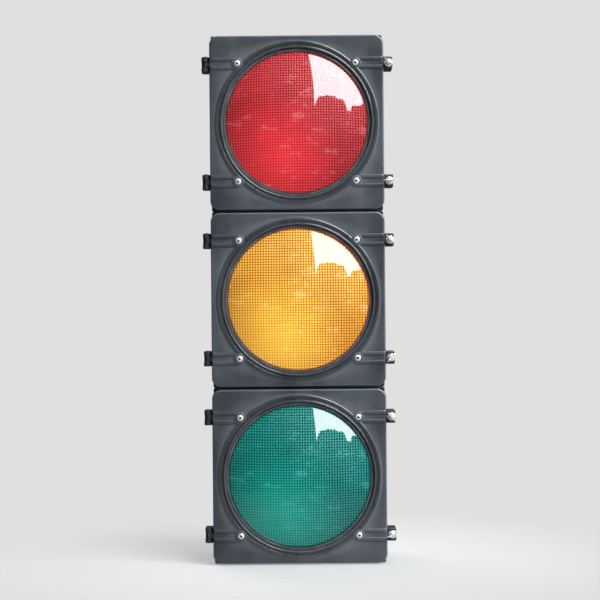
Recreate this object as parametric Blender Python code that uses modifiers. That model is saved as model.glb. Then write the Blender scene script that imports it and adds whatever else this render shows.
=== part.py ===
"""Three-section traffic signal head with 12-inch lenses.

Metres, +Z up. The head faces -Y and +X is to the right of someone who looks at its lenses.
The origin is the centre of the bottom plug's flat face, on the line through the pipe openings.
A depth called forward is measured along -Y from that line.
"""
import math

import bmesh
import bpy
from mathutils import Matrix, Vector

# Driving dimensions
PITCH = 0.3556                     # 14 inches from one section to the next
SECTIONS = ("green", "amber", "red")   # from the bottom up
GAP = 0.0003                       # between pieces that touch
SEAM = 2 * GAP                     # between one housing and the next
ROUND = 24                         # facets of a large round piece
DOOR_ROUND = 32
PIPE_ROUND = 20
SMALL_ROUND = 12
FINE_ROUND = 8

# Housing
HOUSING_WIDTH = 0.346
HOUSING_HEIGHT = PITCH - SEAM
HOUSING_FRONT = 0.080
HOUSING_BACK = -0.080
WALL = 0.003
BACK_EDGE_RADIUS = 0.012
PIPE_BORE = 0.0255
PAD_RADIUS = 0.0405                # thickening round each pipe opening
PAD_DEPTH = 0.004
SEAT_RADIUS = 0.0400               # counterbore that takes a serrated ring
SEAT_DEPTH = 0.0015
BRACKET_DEPTH = 0.022              # of the hinge brackets and latch lugs

# Door
DOOR_SIZE = 0.350
DOOR_CORNER = 0.018
DOOR_EDGE = 0.0035
DOOR_WALL = 0.003
DOOR_BACK = HOUSING_FRONT + GAP
DOOR_FACE = 0.102
RING_BORE = 0.1505
RING_OUTER = 0.1650
RING_HEIGHT = 0.003
LAND_INNER = 0.1576
GROOVE_RADIUS = 0.1553
LIP_OUTER = 0.1536
LIP_INNER = 0.1515
LIP_HEIGHT = 0.005
SCREW_OFFSET = 0.1185              # door screws, hinges and latches are at this height
SCREW_HOLE = 0.0029
SCREW_HOLE_DEPTH = 0.0125
DOOR_SCREW_RADIUS = 0.0022
DOOR_SCREW_LENGTH = 0.0115
DOOR_HEAD_RADIUS = 0.00625
DOOR_HEAD_RISE = 0.0034
SOCKET_RADIUS = 0.0024
BOSS_RADIUS = 0.0108
BOSS_HEIGHT = 0.0035
BOSS_DEPTH = 0.014
CLIP_POST_RADIUS = 0.004
CLIP_POST_OFFSET = 0.1640
CLIP_POST_DEPTH = 0.0115
RIB_PITCH = 0.017
RIB_WIDTH = 0.0085
RIB_HEIGHT = 0.0022
RIB_INNER = 0.1220
RIB_OUTER = 0.1742

# Hinges, on the left
HINGE_X = -0.1834
HINGE_FORWARD = 0.088
KNUCKLE_RADIUS = 0.0080
KNUCKLE_LENGTH = 0.0096
KNUCKLE_PITCH = 0.0102
PIN_RADIUS = 0.0025
PIN_BORE = 0.0030
PIN_HEAD_RADIUS = 0.0042
PIN_HEAD_HEIGHT = 0.0010
PIN_TAIL = 0.0005

# Latches, on the right
LATCH_X = 0.1852
LUG_OUTER = 0.1930
LUG_HALF_HEIGHT = 0.0129
DOOR_LUG_FRONT = 0.0980
SCREW_RADIUS = 0.0031
DOOR_LUG_BORE = 0.0037
HOUSING_LUG_BORE = 0.0038
SCREW_GRIP = 0.008                 # how far the wing screw goes into the housing lug
WASHER_RADIUS = 0.0080
WASHER_THICKNESS = 0.0012
HUB_RADIUS = 0.0046
HUB_HEIGHT = 0.0125
WING_RADIUS = 0.0055
WING_CENTRE = 0.0070
WING_FORWARD = 0.1112
WING_THICKNESS = 0.0024
WING_TURNS = {
    "green_lower": 18, "green_upper": -50, "amber_lower": 48,
    "amber_upper": -49, "red_lower": -3, "red_upper": -41,
}

# Lens and gasket
LENS_FLANGE_RADIUS = 0.1535
LENS_FLANGE_BACK = 0.0933
LENS_THICKNESS = 0.003
LENS_RADIUS = 0.1435
LENS_RISE = 0.038
LENS_SHOULDER = 0.0985
GASKET_INNER = 0.1470
GASKET_OUTER = 0.1560
GASKET_SLOT = 0.1540
GASKET_FRONT = DOOR_FACE - DOOR_WALL - GAP
GASKET_DEPTH = 0.008

# Reflector, its frame, lampholder and lamp
FRAME_FRONT = 0.0750
FRAME_THICKNESS = 0.003
FRAME_HALF_WIDTH = 0.1655
FRAME_HALF_HEIGHT = 0.1690
FRAME_HOLE = 0.1415
FRAME_BOSS_HALF = 0.010
FRAME_BOSS_INNER = 0.148
FRAME_BOSS_OFFSET = 0.135
REFLECTOR_RADIUS = 0.1385
REFLECTOR_RIM = 0.1475
REFLECTOR_THICKNESS = 0.001
REFLECTOR_FRONT = FRAME_FRONT + GAP + REFLECTOR_THICKNESS
FOCAL_LENGTH = 0.0441
NECK_RADIUS = 0.0235
HOLDER_RADIUS = 0.0205
HOLDER_BORE = 0.0142
HOLDER_FLANGE = 0.031
HOLDER_FLANGE_THICKNESS = 0.004
HOLDER_FRONT = -0.0262
HOLDER_BACK = -0.066
LAMP_BASE_RADIUS = 0.0132
LAMP_END = -0.0545
LAMP_NECK = -0.0245
BULB_RADIUS = 0.033
BULB_CENTRE = 0.024

# Section coupling, bottom plug and terminal block
NIPPLE_RADIUS = 0.0240
NIPPLE_BORE = 0.0185
NIPPLE_FLANGE = 0.034
NIPPLE_FLANGE_HEIGHT = 0.005
NIPPLE_TOP = 0.022
NUT_BORE = 0.0248
NUT_RADIUS = 0.037
NUT_HEIGHT = 0.006
PLUG_FLANGE = 0.0390
PLUG_RADIUS = 0.0245
PLUG_LIP = 0.0262
PLUG_HEIGHT = 0.014
BLOCK_HALF_WIDTH = 0.055
BLOCK_HALF_HEIGHT = 0.014
BLOCK_DEPTH = 0.0145
BLOCK_OFFSET = -0.130
BLOCK_WAYS = 6

SIDES = ((-1, "left"), (1, "right"))
LEVELS = ((-1, "lower"), (1, "upper"))

# colour, roughness, metallic
FINISHES = {
    "housing": ((0.055, 0.062, 0.072), 0.45, 0.0),
    "door": ((0.060, 0.068, 0.080), 0.42, 0.0),
    "lens_red": ((0.55, 0.02, 0.025), 0.12, 0.0),
    "lens_amber": ((0.85, 0.36, 0.03), 0.12, 0.0),
    "lens_green": ((0.0, 0.20, 0.16), 0.12, 0.0),
    "rubber": ((0.012, 0.012, 0.013), 0.75, 0.0),
    "steel": ((0.62, 0.61, 0.59), 0.28, 1.0),
    "reflector": ((0.82, 0.82, 0.83), 0.10, 1.0),
    "cast": ((0.45, 0.46, 0.47), 0.40, 1.0),
    "phenolic": ((0.030, 0.028, 0.026), 0.50, 0.0),
    "bulb": ((0.88, 0.89, 0.88), 0.08, 0.0),
}


def section_base(index):
    return PITCH * index


def section_middle(index):
    return section_base(index) + HOUSING_HEIGHT / 2


def clear_scene():
    for old in list(bpy.data.objects):
        bpy.data.objects.remove(old)


def new_collection(name):
    collection = bpy.data.collections.new(name)
    bpy.context.scene.collection.children.link(collection)
    return collection


def new_material(name, colour, roughness, metallic):
    material = bpy.data.materials.new(name)
    material.use_nodes = True
    shader = material.node_tree.nodes["Principled BSDF"]
    shader.inputs["Base Color"].default_value = (*colour, 1.0)
    shader.inputs["Roughness"].default_value = roughness
    shader.inputs["Metallic"].default_value = metallic
    return material


def make_object(name, bm, finish=None, place=Matrix.Identity(4)):
    """Turn a bmesh into an object: a part when it has a finish, or else a cutter."""
    mesh = bpy.data.meshes.new(name)
    bm.to_mesh(mesh)
    bm.free()
    item = bpy.data.objects.new(name, mesh)
    item.matrix_world = place
    if finish:
        parts.objects.link(item)
        mesh.materials.append(materials[finish])
    else:
        cutters.objects.link(item)
        item.hide_render = True
        item.display_type = "WIRE"
    return item


def boolean(item, tool, operation):
    modifier = item.modifiers.new(operation.lower(), "BOOLEAN")
    modifier.operation = operation
    modifier.object = tool
    modifier.solver = "EXACT"


def facing_front(x, z):
    """A turned piece's axis: its local +Z becomes forward, at this x and z."""
    return Matrix.Translation((x, 0, z)) @ Matrix.Rotation(math.pi / 2, 4, "X")


def add_box(bm, low, high):
    """Add a box between two corners, given as (x, forward, z)."""
    low = Vector((low[0], -low[1], low[2]))
    high = Vector((high[0], -high[1], high[2]))
    size = [abs(b - a) for a, b in zip(low, high)]
    place = Matrix.Translation((low + high) / 2) @ Matrix.Diagonal((*size, 1))
    return bmesh.ops.create_cube(bm, size=1, matrix=place)["verts"]


def add_cylinder(bm, radius, start, end, sides, place=Matrix.Identity(4)):
    """Add a cylinder along the local Z of place, from start to end."""
    middle = Matrix.Translation((0, 0, (start + end) / 2))
    bmesh.ops.create_cone(
        bm, cap_ends=True, segments=sides, radius1=radius, radius2=radius,
        depth=abs(end - start), matrix=place @ middle,
    )


def add_prism(bm, outline, bottom, top):
    """Add an upright prism on an anticlockwise outline of (x, y) points."""
    corners = [bm.verts.new((x, y, bottom)) for x, y in outline]
    face = bm.faces.new(corners)
    face.normal_flip()
    lifted = bmesh.ops.extrude_face_region(bm, geom=[face], use_keep_orig=True)["geom"]
    raised = [item for item in lifted if isinstance(item, bmesh.types.BMVert)]
    bmesh.ops.translate(bm, vec=(0, 0, top - bottom), verts=raised)
    bmesh.ops.recalc_face_normals(bm, faces=bm.faces)


def turned(name, profile, sides, finish, place, closed=False):
    """Turn a profile of (radius, height), which runs down its outer side, about local Z."""
    bm = bmesh.new()
    points = [bm.verts.new((radius, 0, height)) for radius, height in profile]
    for first, second in zip(points, points[1:]):
        bm.edges.new((first, second))
    if closed:
        bm.edges.new((points[-1], points[0]))
    item = make_object(name, bm, finish, place)
    screw = item.modifiers.new("turn", "SCREW")
    screw.steps = sides
    screw.render_steps = sides
    screw.use_merge_vertices = True
    screw.merge_threshold = 0.00001
    screw.use_smooth_shade = False
    return item


def arc(centre, radius, start, end, steps):
    """Points (radius, height) on an arc in a turned profile, angles in degrees from the radius axis."""
    points = []
    for step in range(steps + 1):
        angle = math.radians(start + (end - start) * step / steps)
        points.append((centre[0] + radius * math.cos(angle), centre[1] + radius * math.sin(angle)))
    return points


def smooth(item, angle=35):
    item.data.shade_smooth()
    item.data.set_sharp_from_angle(angle=math.radians(angle))


def barrel(start, end, steps):
    """Points on a hinge knuckle's round side, seen from above, between two angles in degrees."""
    angles = [math.radians(start + (end - start) * step / steps) for step in range(steps + 1)]
    return [
        (HINGE_X + KNUCKLE_RADIUS * math.cos(angle), KNUCKLE_RADIUS * math.sin(angle) - HINGE_FORWARD)
        for angle in angles
    ]


def housing_body():
    """The housing's open-fronted box, with a rounded rear edge."""
    bm = bmesh.new()
    half = HOUSING_WIDTH / 2
    add_box(bm, (-half, HOUSING_BACK, 0), (half, HOUSING_FRONT, HOUSING_HEIGHT))
    front = [face for face in bm.faces if face.normal.y < -0.9]
    bmesh.ops.delete(bm, geom=front, context="FACES_ONLY")
    rear = -HOUSING_BACK
    edges = [e for e in bm.edges if all(abs(v.co.y - rear) < 0.0001 for v in e.verts)]
    bmesh.ops.bevel(bm, geom=edges, offset=BACK_EDGE_RADIUS, segments=2, profile=0.5, affect="EDGES")
    return bm


def housing_fittings(name):
    """What stands on the housing's walls: pipe pads, frame bosses, hinge brackets and latch lugs."""
    bm = bmesh.new()
    overlap = WALL / 2
    top = HOUSING_HEIGHT
    add_cylinder(bm, PAD_RADIUS, overlap, WALL + PAD_DEPTH, PIPE_ROUND)
    add_cylinder(bm, PAD_RADIUS, top - WALL - PAD_DEPTH, top - overlap, PIPE_ROUND)
    wall_middle = HOUSING_WIDTH / 2 - overlap
    boss_front = FRAME_FRONT - FRAME_THICKNESS - GAP
    for side, _ in SIDES:
        for level, _ in LEVELS:
            middle = top / 2 + level * FRAME_BOSS_OFFSET
            add_box(
                bm, (side * FRAME_BOSS_INNER, boss_front - 0.020, middle - FRAME_BOSS_HALF),
                (side * wall_middle, boss_front, middle + FRAME_BOSS_HALF),
            )
    bracket_half = KNUCKLE_PITCH + KNUCKLE_LENGTH / 2
    for level, _ in LEVELS:
        middle = top / 2 + level * SCREW_OFFSET
        add_box(
            bm, (HINGE_X - KNUCKLE_RADIUS, HOUSING_FRONT - BRACKET_DEPTH, middle - bracket_half),
            (-wall_middle, HOUSING_FRONT - GAP, middle + bracket_half),
        )
        add_box(
            bm, (wall_middle, HOUSING_FRONT - BRACKET_DEPTH, middle - LUG_HALF_HEIGHT),
            (LUG_OUTER, HOUSING_FRONT - GAP, middle + LUG_HALF_HEIGHT),
        )
    return make_object(name, bm)


def housing_knuckles(name):
    """The outer two knuckles of both hinges, which reach back into the brackets."""
    bm = bmesh.new()
    arm_back = 0.004 - HOUSING_FRONT
    outline = barrel(180, 360, 6) + [
        (HINGE_X + KNUCKLE_RADIUS, arm_back),
        (HINGE_X - KNUCKLE_RADIUS, arm_back),
    ]
    for level, _ in LEVELS:
        for side in (-1, 1):
            middle = HOUSING_HEIGHT / 2 + level * SCREW_OFFSET + side * KNUCKLE_PITCH
            add_prism(bm, outline, middle - KNUCKLE_LENGTH / 2, middle + KNUCKLE_LENGTH / 2)
    return make_object(name, bm)


def housing_holes(name):
    """Pipe openings with their counterbores, hinge pin bores and latch bores."""
    bm = bmesh.new()
    top = HOUSING_HEIGHT
    add_cylinder(bm, PIPE_BORE, -0.01, top + 0.01, PIPE_ROUND)
    for level, _ in LEVELS:
        middle = top / 2 + level * SCREW_OFFSET
        place = Matrix.Translation((HINGE_X, -HINGE_FORWARD, middle))
        add_cylinder(bm, PIN_BORE, -0.018, 0.018, FINE_ROUND, place)
        place = facing_front(LATCH_X, middle)
        add_cylinder(bm, HOUSING_LUG_BORE, HOUSING_FRONT - 0.016, HOUSING_FRONT + 0.002, SMALL_ROUND, place)
    return make_object(name, bm)


def housing_seats(name):
    """The shallow counterbores in the outer ends of the pipe openings."""
    bm = bmesh.new()
    top = HOUSING_HEIGHT
    add_cylinder(bm, SEAT_RADIUS, -0.01, SEAT_DEPTH, PIPE_ROUND)
    add_cylinder(bm, SEAT_RADIUS, top - SEAT_DEPTH, top + 0.01, PIPE_ROUND)
    return make_object(name, bm)


def build_housings():
    fittings = housing_fittings("housing_fittings")
    knuckles = housing_knuckles("housing_knuckles")
    holes = housing_holes("housing_holes")
    seats = housing_seats("housing_seats")
    for index, colour in enumerate(SECTIONS):
        place = Matrix.Translation((0, 0, section_base(index)))
        housing = make_object("housing_" + colour, housing_body(), "housing", place)
        shell = housing.modifiers.new("wall", "SOLIDIFY")
        shell.thickness = WALL
        shell.offset = -1
        shell.use_even_offset = True
        for tool, operation in (
            (fittings, "UNION"), (knuckles, "UNION"), (seats, "DIFFERENCE"), (holes, "DIFFERENCE"),
        ):
            copy = tool.copy()
            copy.matrix_world = place
            cutters.objects.link(copy)
            boolean(housing, copy, operation)
    for tool in (fittings, knuckles, holes, seats):
        bpy.data.objects.remove(tool)


def door_body():
    """The door's open-backed pan, round at its corners and front edges."""
    bm = bmesh.new()
    half = DOOR_SIZE / 2
    add_box(bm, (-half, DOOR_BACK, -half), (half, DOOR_FACE, half))
    back = [face for face in bm.faces if face.normal.y > 0.9]
    bmesh.ops.delete(bm, geom=back, context="FACES_ONLY")
    corners = [e for e in bm.edges if abs(e.verts[0].co.y - e.verts[1].co.y) > 0.001]
    bmesh.ops.bevel(bm, geom=corners, offset=DOOR_CORNER, segments=3, profile=0.5, affect="EDGES")
    front = [e for e in bm.edges if all(abs(v.co.y + DOOR_FACE) < 0.0001 for v in e.verts)]
    bmesh.ops.bevel(bm, geom=front, offset=DOOR_EDGE, segments=2, profile=0.5, affect="EDGES")
    return bm


def door_ring(name):
    """The raised ring round the lens: a thin inner lip, a groove and an outer land."""
    profile = [
        (LIP_OUTER, DOOR_FACE + LIP_HEIGHT),
        (GROOVE_RADIUS, DOOR_FACE + RING_HEIGHT / 2),
        (LAND_INNER, DOOR_FACE + RING_HEIGHT),
        (RING_OUTER - 0.0012, DOOR_FACE + RING_HEIGHT),
        (RING_OUTER, DOOR_FACE),
        (RING_OUTER, DOOR_FACE - DOOR_WALL + 0.0004),
        (RING_BORE, DOOR_FACE - DOOR_WALL + 0.0004),
        (RING_BORE, DOOR_FACE + LIP_HEIGHT - 0.001),
        (LIP_INNER, DOOR_FACE + LIP_HEIGHT),
    ]
    return turned(name, profile, DOOR_ROUND, None, facing_front(0, 0), closed=True)


def door_edges(name):
    """The door's hinge knuckles and latch lugs, which stand on its side walls."""
    bm = bmesh.new()
    wall_middle = DOOR_SIZE / 2 - DOOR_WALL / 2
    arm_back = -DOOR_BACK - 0.001
    arm_front = -HINGE_FORWARD - KNUCKLE_RADIUS
    start = math.degrees(math.asin((arm_back + HINGE_FORWARD) / KNUCKLE_RADIUS))
    outline = barrel(start, 270, 7) + [(-wall_middle, arm_front), (-wall_middle, arm_back)]
    for level, _ in LEVELS:
        middle = level * SCREW_OFFSET
        add_prism(bm, outline, middle - KNUCKLE_LENGTH / 2, middle + KNUCKLE_LENGTH / 2)
        add_box(
            bm, (wall_middle, DOOR_BACK + GAP, middle - LUG_HALF_HEIGHT),
            (LUG_OUTER, DOOR_LUG_FRONT, middle + LUG_HALF_HEIGHT),
        )
    return make_object(name, bm)


def door_bosses(name):
    """Four screw bosses, and four posts inside for the lens clips."""
    bm = bmesh.new()
    front = DOOR_FACE + BOSS_HEIGHT
    post_front = DOOR_FACE - DOOR_WALL / 2
    for side, _ in SIDES:
        for level, _ in LEVELS:
            place = facing_front(side * SCREW_OFFSET, level * SCREW_OFFSET)
            add_cylinder(bm, BOSS_RADIUS, front - BOSS_DEPTH, front, SMALL_ROUND, place)
        for x, z in ((side * CLIP_POST_OFFSET, 0), (0, side * CLIP_POST_OFFSET)):
            place = facing_front(x, z)
            add_cylinder(
                bm, CLIP_POST_RADIUS, post_front - CLIP_POST_DEPTH, post_front, FINE_ROUND, place,
            )
    return make_object(name, bm)


def door_ribs(name):
    """A pair of ribs from each screw boss out to the door's side."""
    bm = bmesh.new()
    for side, _ in SIDES:
        for level, _ in LEVELS:
            for step in (-0.5, 0.5):
                middle = level * SCREW_OFFSET + step * RIB_PITCH
                verts = add_box(
                    bm, (side * RIB_INNER, DOOR_FACE - 0.002, middle - RIB_WIDTH / 2),
                    (side * RIB_OUTER, DOOR_FACE + RIB_HEIGHT, middle + RIB_WIDTH / 2),
                )
                for vert in verts:
                    if vert.co.y < -DOOR_FACE - RIB_HEIGHT / 2:
                        vert.co.z = middle + (vert.co.z - middle) * 0.6
                        vert.co.x -= side * 0.001 if abs(vert.co.x) > RIB_OUTER - 0.001 else 0
    return make_object(name, bm)


def door_holes(name):
    """Screw holes in the bosses, latch bores and hinge pin bores."""
    bm = bmesh.new()
    front = DOOR_FACE + BOSS_HEIGHT
    for level, _ in LEVELS:
        middle = level * SCREW_OFFSET
        for side, _ in SIDES:
            place = facing_front(side * SCREW_OFFSET, middle)
            add_cylinder(bm, SCREW_HOLE, front - SCREW_HOLE_DEPTH, front + 0.002, FINE_ROUND, place)
        place = facing_front(LATCH_X, middle)
        add_cylinder(bm, DOOR_LUG_BORE, DOOR_BACK - 0.002, DOOR_LUG_FRONT + 0.002, SMALL_ROUND, place)
        place = Matrix.Translation((HINGE_X, -HINGE_FORWARD, middle))
        add_cylinder(bm, PIN_BORE, -0.01, 0.01, FINE_ROUND, place)
    return make_object(name, bm)


def lens_opening(name):
    """The round opening in the pan, which the ring then lines."""
    bm = bmesh.new()
    depth = 2 * DOOR_WALL
    place = facing_front(0, 0)
    add_cylinder(bm, RING_BORE + 0.002, DOOR_FACE - depth, DOOR_FACE + depth, DOOR_ROUND, place)
    return make_object(name, bm)


def build_doors():
    tools = (
        (lens_opening("lens_opening"), "DIFFERENCE"), (door_ring("door_ring"), "UNION"),
        (door_edges("door_edges"), "UNION"), (door_bosses("door_bosses"), "UNION"),
        (door_ribs("door_ribs"), "UNION"), (door_holes("door_holes"), "DIFFERENCE"),
    )
    for index, colour in enumerate(SECTIONS):
        hinge = Vector((HINGE_X, -HINGE_FORWARD, section_middle(index)))
        bm = door_body()
        bmesh.ops.translate(bm, vec=(-HINGE_X, HINGE_FORWARD, 0), verts=bm.verts)
        door = make_object("door_" + colour, bm, "door", Matrix.Translation(hinge))
        shell = door.modifiers.new("wall", "SOLIDIFY")
        shell.thickness = DOOR_WALL
        shell.offset = -1
        shell.use_even_offset = True
        shift = Matrix.Translation((0, 0, section_middle(index)))
        for tool, operation in tools:
            copy = tool.copy()
            copy.matrix_world = shift @ tool.matrix_world
            cutters.objects.link(copy)
            boolean(door, copy, operation)
    for tool, _ in tools:
        bpy.data.objects.remove(tool)


def build_lens(index, colour):
    """A convex lens with a flange round it."""
    sphere = (LENS_RADIUS ** 2 + LENS_RISE ** 2) / (2 * LENS_RISE)
    centre = (0, LENS_SHOULDER + LENS_RISE - sphere)
    rim = math.degrees(math.acos(LENS_RADIUS / sphere))
    inner = sphere - LENS_THICKNESS
    inner_rim = math.degrees(math.acos((LENS_RADIUS - 0.002) / inner))
    front = LENS_FLANGE_BACK + LENS_THICKNESS
    profile = arc(centre, sphere, 90, rim, 4)
    profile[0] = (0, profile[0][1])
    profile += [(LENS_RADIUS + 0.0015, front), (LENS_FLANGE_RADIUS, front)]
    profile += [(LENS_FLANGE_RADIUS, LENS_FLANGE_BACK), (LENS_RADIUS - 0.002, LENS_FLANGE_BACK)]
    back = arc(centre, inner, inner_rim, 90, 3)
    back[-1] = (0, back[-1][1])
    profile += back
    place = facing_front(0, section_middle(index))
    smooth(turned("lens_" + colour, profile, ROUND, "lens_" + colour, place))


def build_gasket(index, colour):
    """A channel-shaped rubber ring on the lens flange."""
    back = GASKET_FRONT - GASKET_DEPTH
    slot_front = LENS_FLANGE_BACK + LENS_THICKNESS + GAP
    slot_back = LENS_FLANGE_BACK - GAP
    profile = [
        (GASKET_INNER, GASKET_FRONT), (GASKET_OUTER, GASKET_FRONT), (GASKET_OUTER, back),
        (GASKET_INNER, back), (GASKET_INNER, slot_back), (GASKET_SLOT, slot_back),
        (GASKET_SLOT, slot_front), (GASKET_INNER, slot_front),
    ]
    place = facing_front(0, section_middle(index))
    turned("lens_gasket_" + colour, profile, ROUND, "rubber", place, closed=True)


def bowl_depth(radius):
    """How far forward the reflector's inner face is at this radius: a paraboloid."""
    apex = REFLECTOR_FRONT - REFLECTOR_RADIUS ** 2 / (4 * FOCAL_LENGTH)
    return apex + radius ** 2 / (4 * FOCAL_LENGTH)


def build_reflector(index, colour):
    """A thin paraboloid bowl with a flat rim and a hole for the lampholder."""
    steps = 4
    width = REFLECTOR_RADIUS - NECK_RADIUS
    radii = [NECK_RADIUS + width * step / steps for step in range(steps + 1)]
    rim_back = REFLECTOR_FRONT - REFLECTOR_THICKNESS
    outside = REFLECTOR_RADIUS + REFLECTOR_THICKNESS
    profile = [(REFLECTOR_RIM, REFLECTOR_FRONT), (REFLECTOR_RIM, rim_back), (outside, rim_back)]
    for radius in reversed(radii[:-1]):
        profile.append((radius + REFLECTOR_THICKNESS * 0.6, bowl_depth(radius) - REFLECTOR_THICKNESS))
    profile += [(radius, bowl_depth(radius)) for radius in radii]
    place = facing_front(0, section_middle(index))
    smooth(turned("reflector_" + colour, profile, ROUND, "reflector", place, closed=True))


def build_frame(index, colour):
    """A square plate with a round opening that holds the reflector's rim."""
    middle = section_middle(index)
    bm = bmesh.new()
    add_box(
        bm, (-FRAME_HALF_WIDTH, FRAME_FRONT - FRAME_THICKNESS, -FRAME_HALF_HEIGHT),
        (FRAME_HALF_WIDTH, FRAME_FRONT, FRAME_HALF_HEIGHT),
    )
    corners = [e for e in bm.edges if abs(e.verts[0].co.y - e.verts[1].co.y) > 0.001]
    bmesh.ops.bevel(bm, geom=corners, offset=0.012, segments=2, profile=0.5, affect="EDGES")
    frame = make_object("reflector_frame_" + colour, bm, "cast", Matrix.Translation((0, 0, middle)))
    bm = bmesh.new()
    place = facing_front(0, middle)
    add_cylinder(bm, FRAME_HOLE, FRAME_FRONT - 0.02, FRAME_FRONT + 0.02, ROUND, place)
    boolean(frame, make_object("frame_hole_" + colour, bm), "DIFFERENCE")


def build_lampholder(index, colour):
    """A socket with a flange behind the reflector's neck."""
    seat = bowl_depth(NECK_RADIUS) - REFLECTOR_THICKNESS - GAP
    flange_back = seat - HOLDER_FLANGE_THICKNESS
    floor = LAMP_END - 0.001
    profile = [
        (0, floor), (HOLDER_BORE, floor), (HOLDER_BORE, HOLDER_FRONT), (HOLDER_RADIUS, HOLDER_FRONT),
        (HOLDER_RADIUS, seat), (HOLDER_FLANGE, seat), (HOLDER_FLANGE, flange_back),
        (HOLDER_RADIUS, flange_back), (HOLDER_RADIUS, HOLDER_BACK), (0, HOLDER_BACK),
    ]
    place = facing_front(0, section_middle(index))
    smooth(turned("lampholder_" + colour, profile, SMALL_ROUND, "phenolic", place))


def build_lamp(index, colour):
    """A round bulb on its metal base."""
    profile = arc((0, BULB_CENTRE), BULB_RADIUS, 90, -40, 4)
    profile[0] = (0, profile[0][1])
    profile += [
        (LAMP_BASE_RADIUS, LAMP_NECK), (LAMP_BASE_RADIUS, LAMP_END + 0.003),
        (0.005, LAMP_END), (0, LAMP_END),
    ]
    place = facing_front(0, section_middle(index))
    smooth(turned("lamp_" + colour, profile, SMALL_ROUND, "bulb", place))


def build_pin(name, height):
    """A hinge pin with a flat head on top."""
    end = KNUCKLE_PITCH + KNUCKLE_LENGTH / 2
    head = end + GAP
    profile = [
        (0, head + PIN_HEAD_HEIGHT), (PIN_HEAD_RADIUS, head + PIN_HEAD_HEIGHT),
        (PIN_HEAD_RADIUS, head), (PIN_RADIUS, head), (PIN_RADIUS, -end - PIN_TAIL), (0, -end - PIN_TAIL),
    ]
    place = Matrix.Translation((HINGE_X, -HINGE_FORWARD, height))
    smooth(turned(name, profile, FINE_ROUND, "steel", place))


def build_washer(name, height):
    """A dished washer in front of the door lug."""
    back = DOOR_LUG_FRONT + GAP
    bore = DOOR_LUG_BORE
    profile = [
        (WASHER_RADIUS, back + WASHER_THICKNESS), (WASHER_RADIUS, back), (bore, back),
        (bore, back + WASHER_THICKNESS * 0.5), (WASHER_RADIUS - 0.0020, back + WASHER_THICKNESS * 0.5),
        (WASHER_RADIUS - 0.0014, back + WASHER_THICKNESS),
    ]
    turned(name, profile, SMALL_ROUND, "steel", facing_front(LATCH_X, height), closed=True)


def build_wing_screw(name, height, turn):
    """A captive screw with a round hub and two wings."""
    hub_back = DOOR_LUG_FRONT + GAP + WASHER_THICKNESS * 0.5 + GAP
    tip = HOUSING_FRONT - SCREW_GRIP
    profile = [
        (0, hub_back + HUB_HEIGHT), (HUB_RADIUS * 0.7, hub_back + HUB_HEIGHT),
        (HUB_RADIUS, hub_back + HUB_HEIGHT * 0.75), (HUB_RADIUS * 1.25, hub_back),
        (SCREW_RADIUS, hub_back), (SCREW_RADIUS, tip + 0.001), (SCREW_RADIUS - 0.001, tip), (0, tip),
    ]
    place = facing_front(LATCH_X, height) @ Matrix.Rotation(math.radians(turn), 4, "Z")
    screw = turned(name, profile, FINE_ROUND, "steel", place)
    bm = bmesh.new()
    flat = Matrix.Rotation(math.pi / 2, 4, "X")
    for side in (-1, 1):
        centre = place @ Matrix.Translation((side * WING_CENTRE, 0, WING_FORWARD)) @ flat
        add_cylinder(bm, WING_RADIUS, -WING_THICKNESS / 2, WING_THICKNESS / 2, SMALL_ROUND, centre)
    boolean(screw, make_object(name + "_wings", bm), "UNION")


def build_door_screw(name, x, z):
    """A round-headed screw in a boss, with a six-sided socket."""
    seat = DOOR_FACE + BOSS_HEIGHT + GAP
    end = seat - DOOR_SCREW_LENGTH
    flatten = DOOR_HEAD_RISE / DOOR_HEAD_RADIUS
    dome = arc((0, 0), DOOR_HEAD_RADIUS, 90, 30, 2)
    profile = [(0, seat + DOOR_HEAD_RISE)]
    profile += [(radius, seat + height * flatten) for radius, height in dome[1:]]
    profile += [
        (DOOR_HEAD_RADIUS, seat + 0.0006), (DOOR_HEAD_RADIUS, seat), (DOOR_SCREW_RADIUS, seat),
        (DOOR_SCREW_RADIUS, end), (0, end),
    ]
    place = facing_front(x, z)
    screw = turned(name, profile, SMALL_ROUND, "steel", place)
    bm = bmesh.new()
    add_cylinder(bm, SOCKET_RADIUS, seat + DOOR_HEAD_RISE / 3, seat + 2 * DOOR_HEAD_RISE, 6, place)
    boolean(screw, make_object(name + "_socket", bm), "DIFFERENCE")


def build_section(index, colour):
    """Everything inside one housing and on its door."""
    build_lens(index, colour)
    build_gasket(index, colour)
    build_reflector(index, colour)
    build_frame(index, colour)
    build_lampholder(index, colour)
    build_lamp(index, colour)
    middle = section_middle(index)
    for level, level_name in LEVELS:
        height = middle + level * SCREW_OFFSET
        label = colour + "_" + level_name
        build_pin("hinge_pin_" + label, height)
        build_washer("latch_washer_" + label, height)
        build_wing_screw("wing_screw_" + label, height, WING_TURNS[label])
        for side, side_name in SIDES:
            build_door_screw("door_screw_" + label + "_" + side_name, side * SCREW_OFFSET, height)


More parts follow.
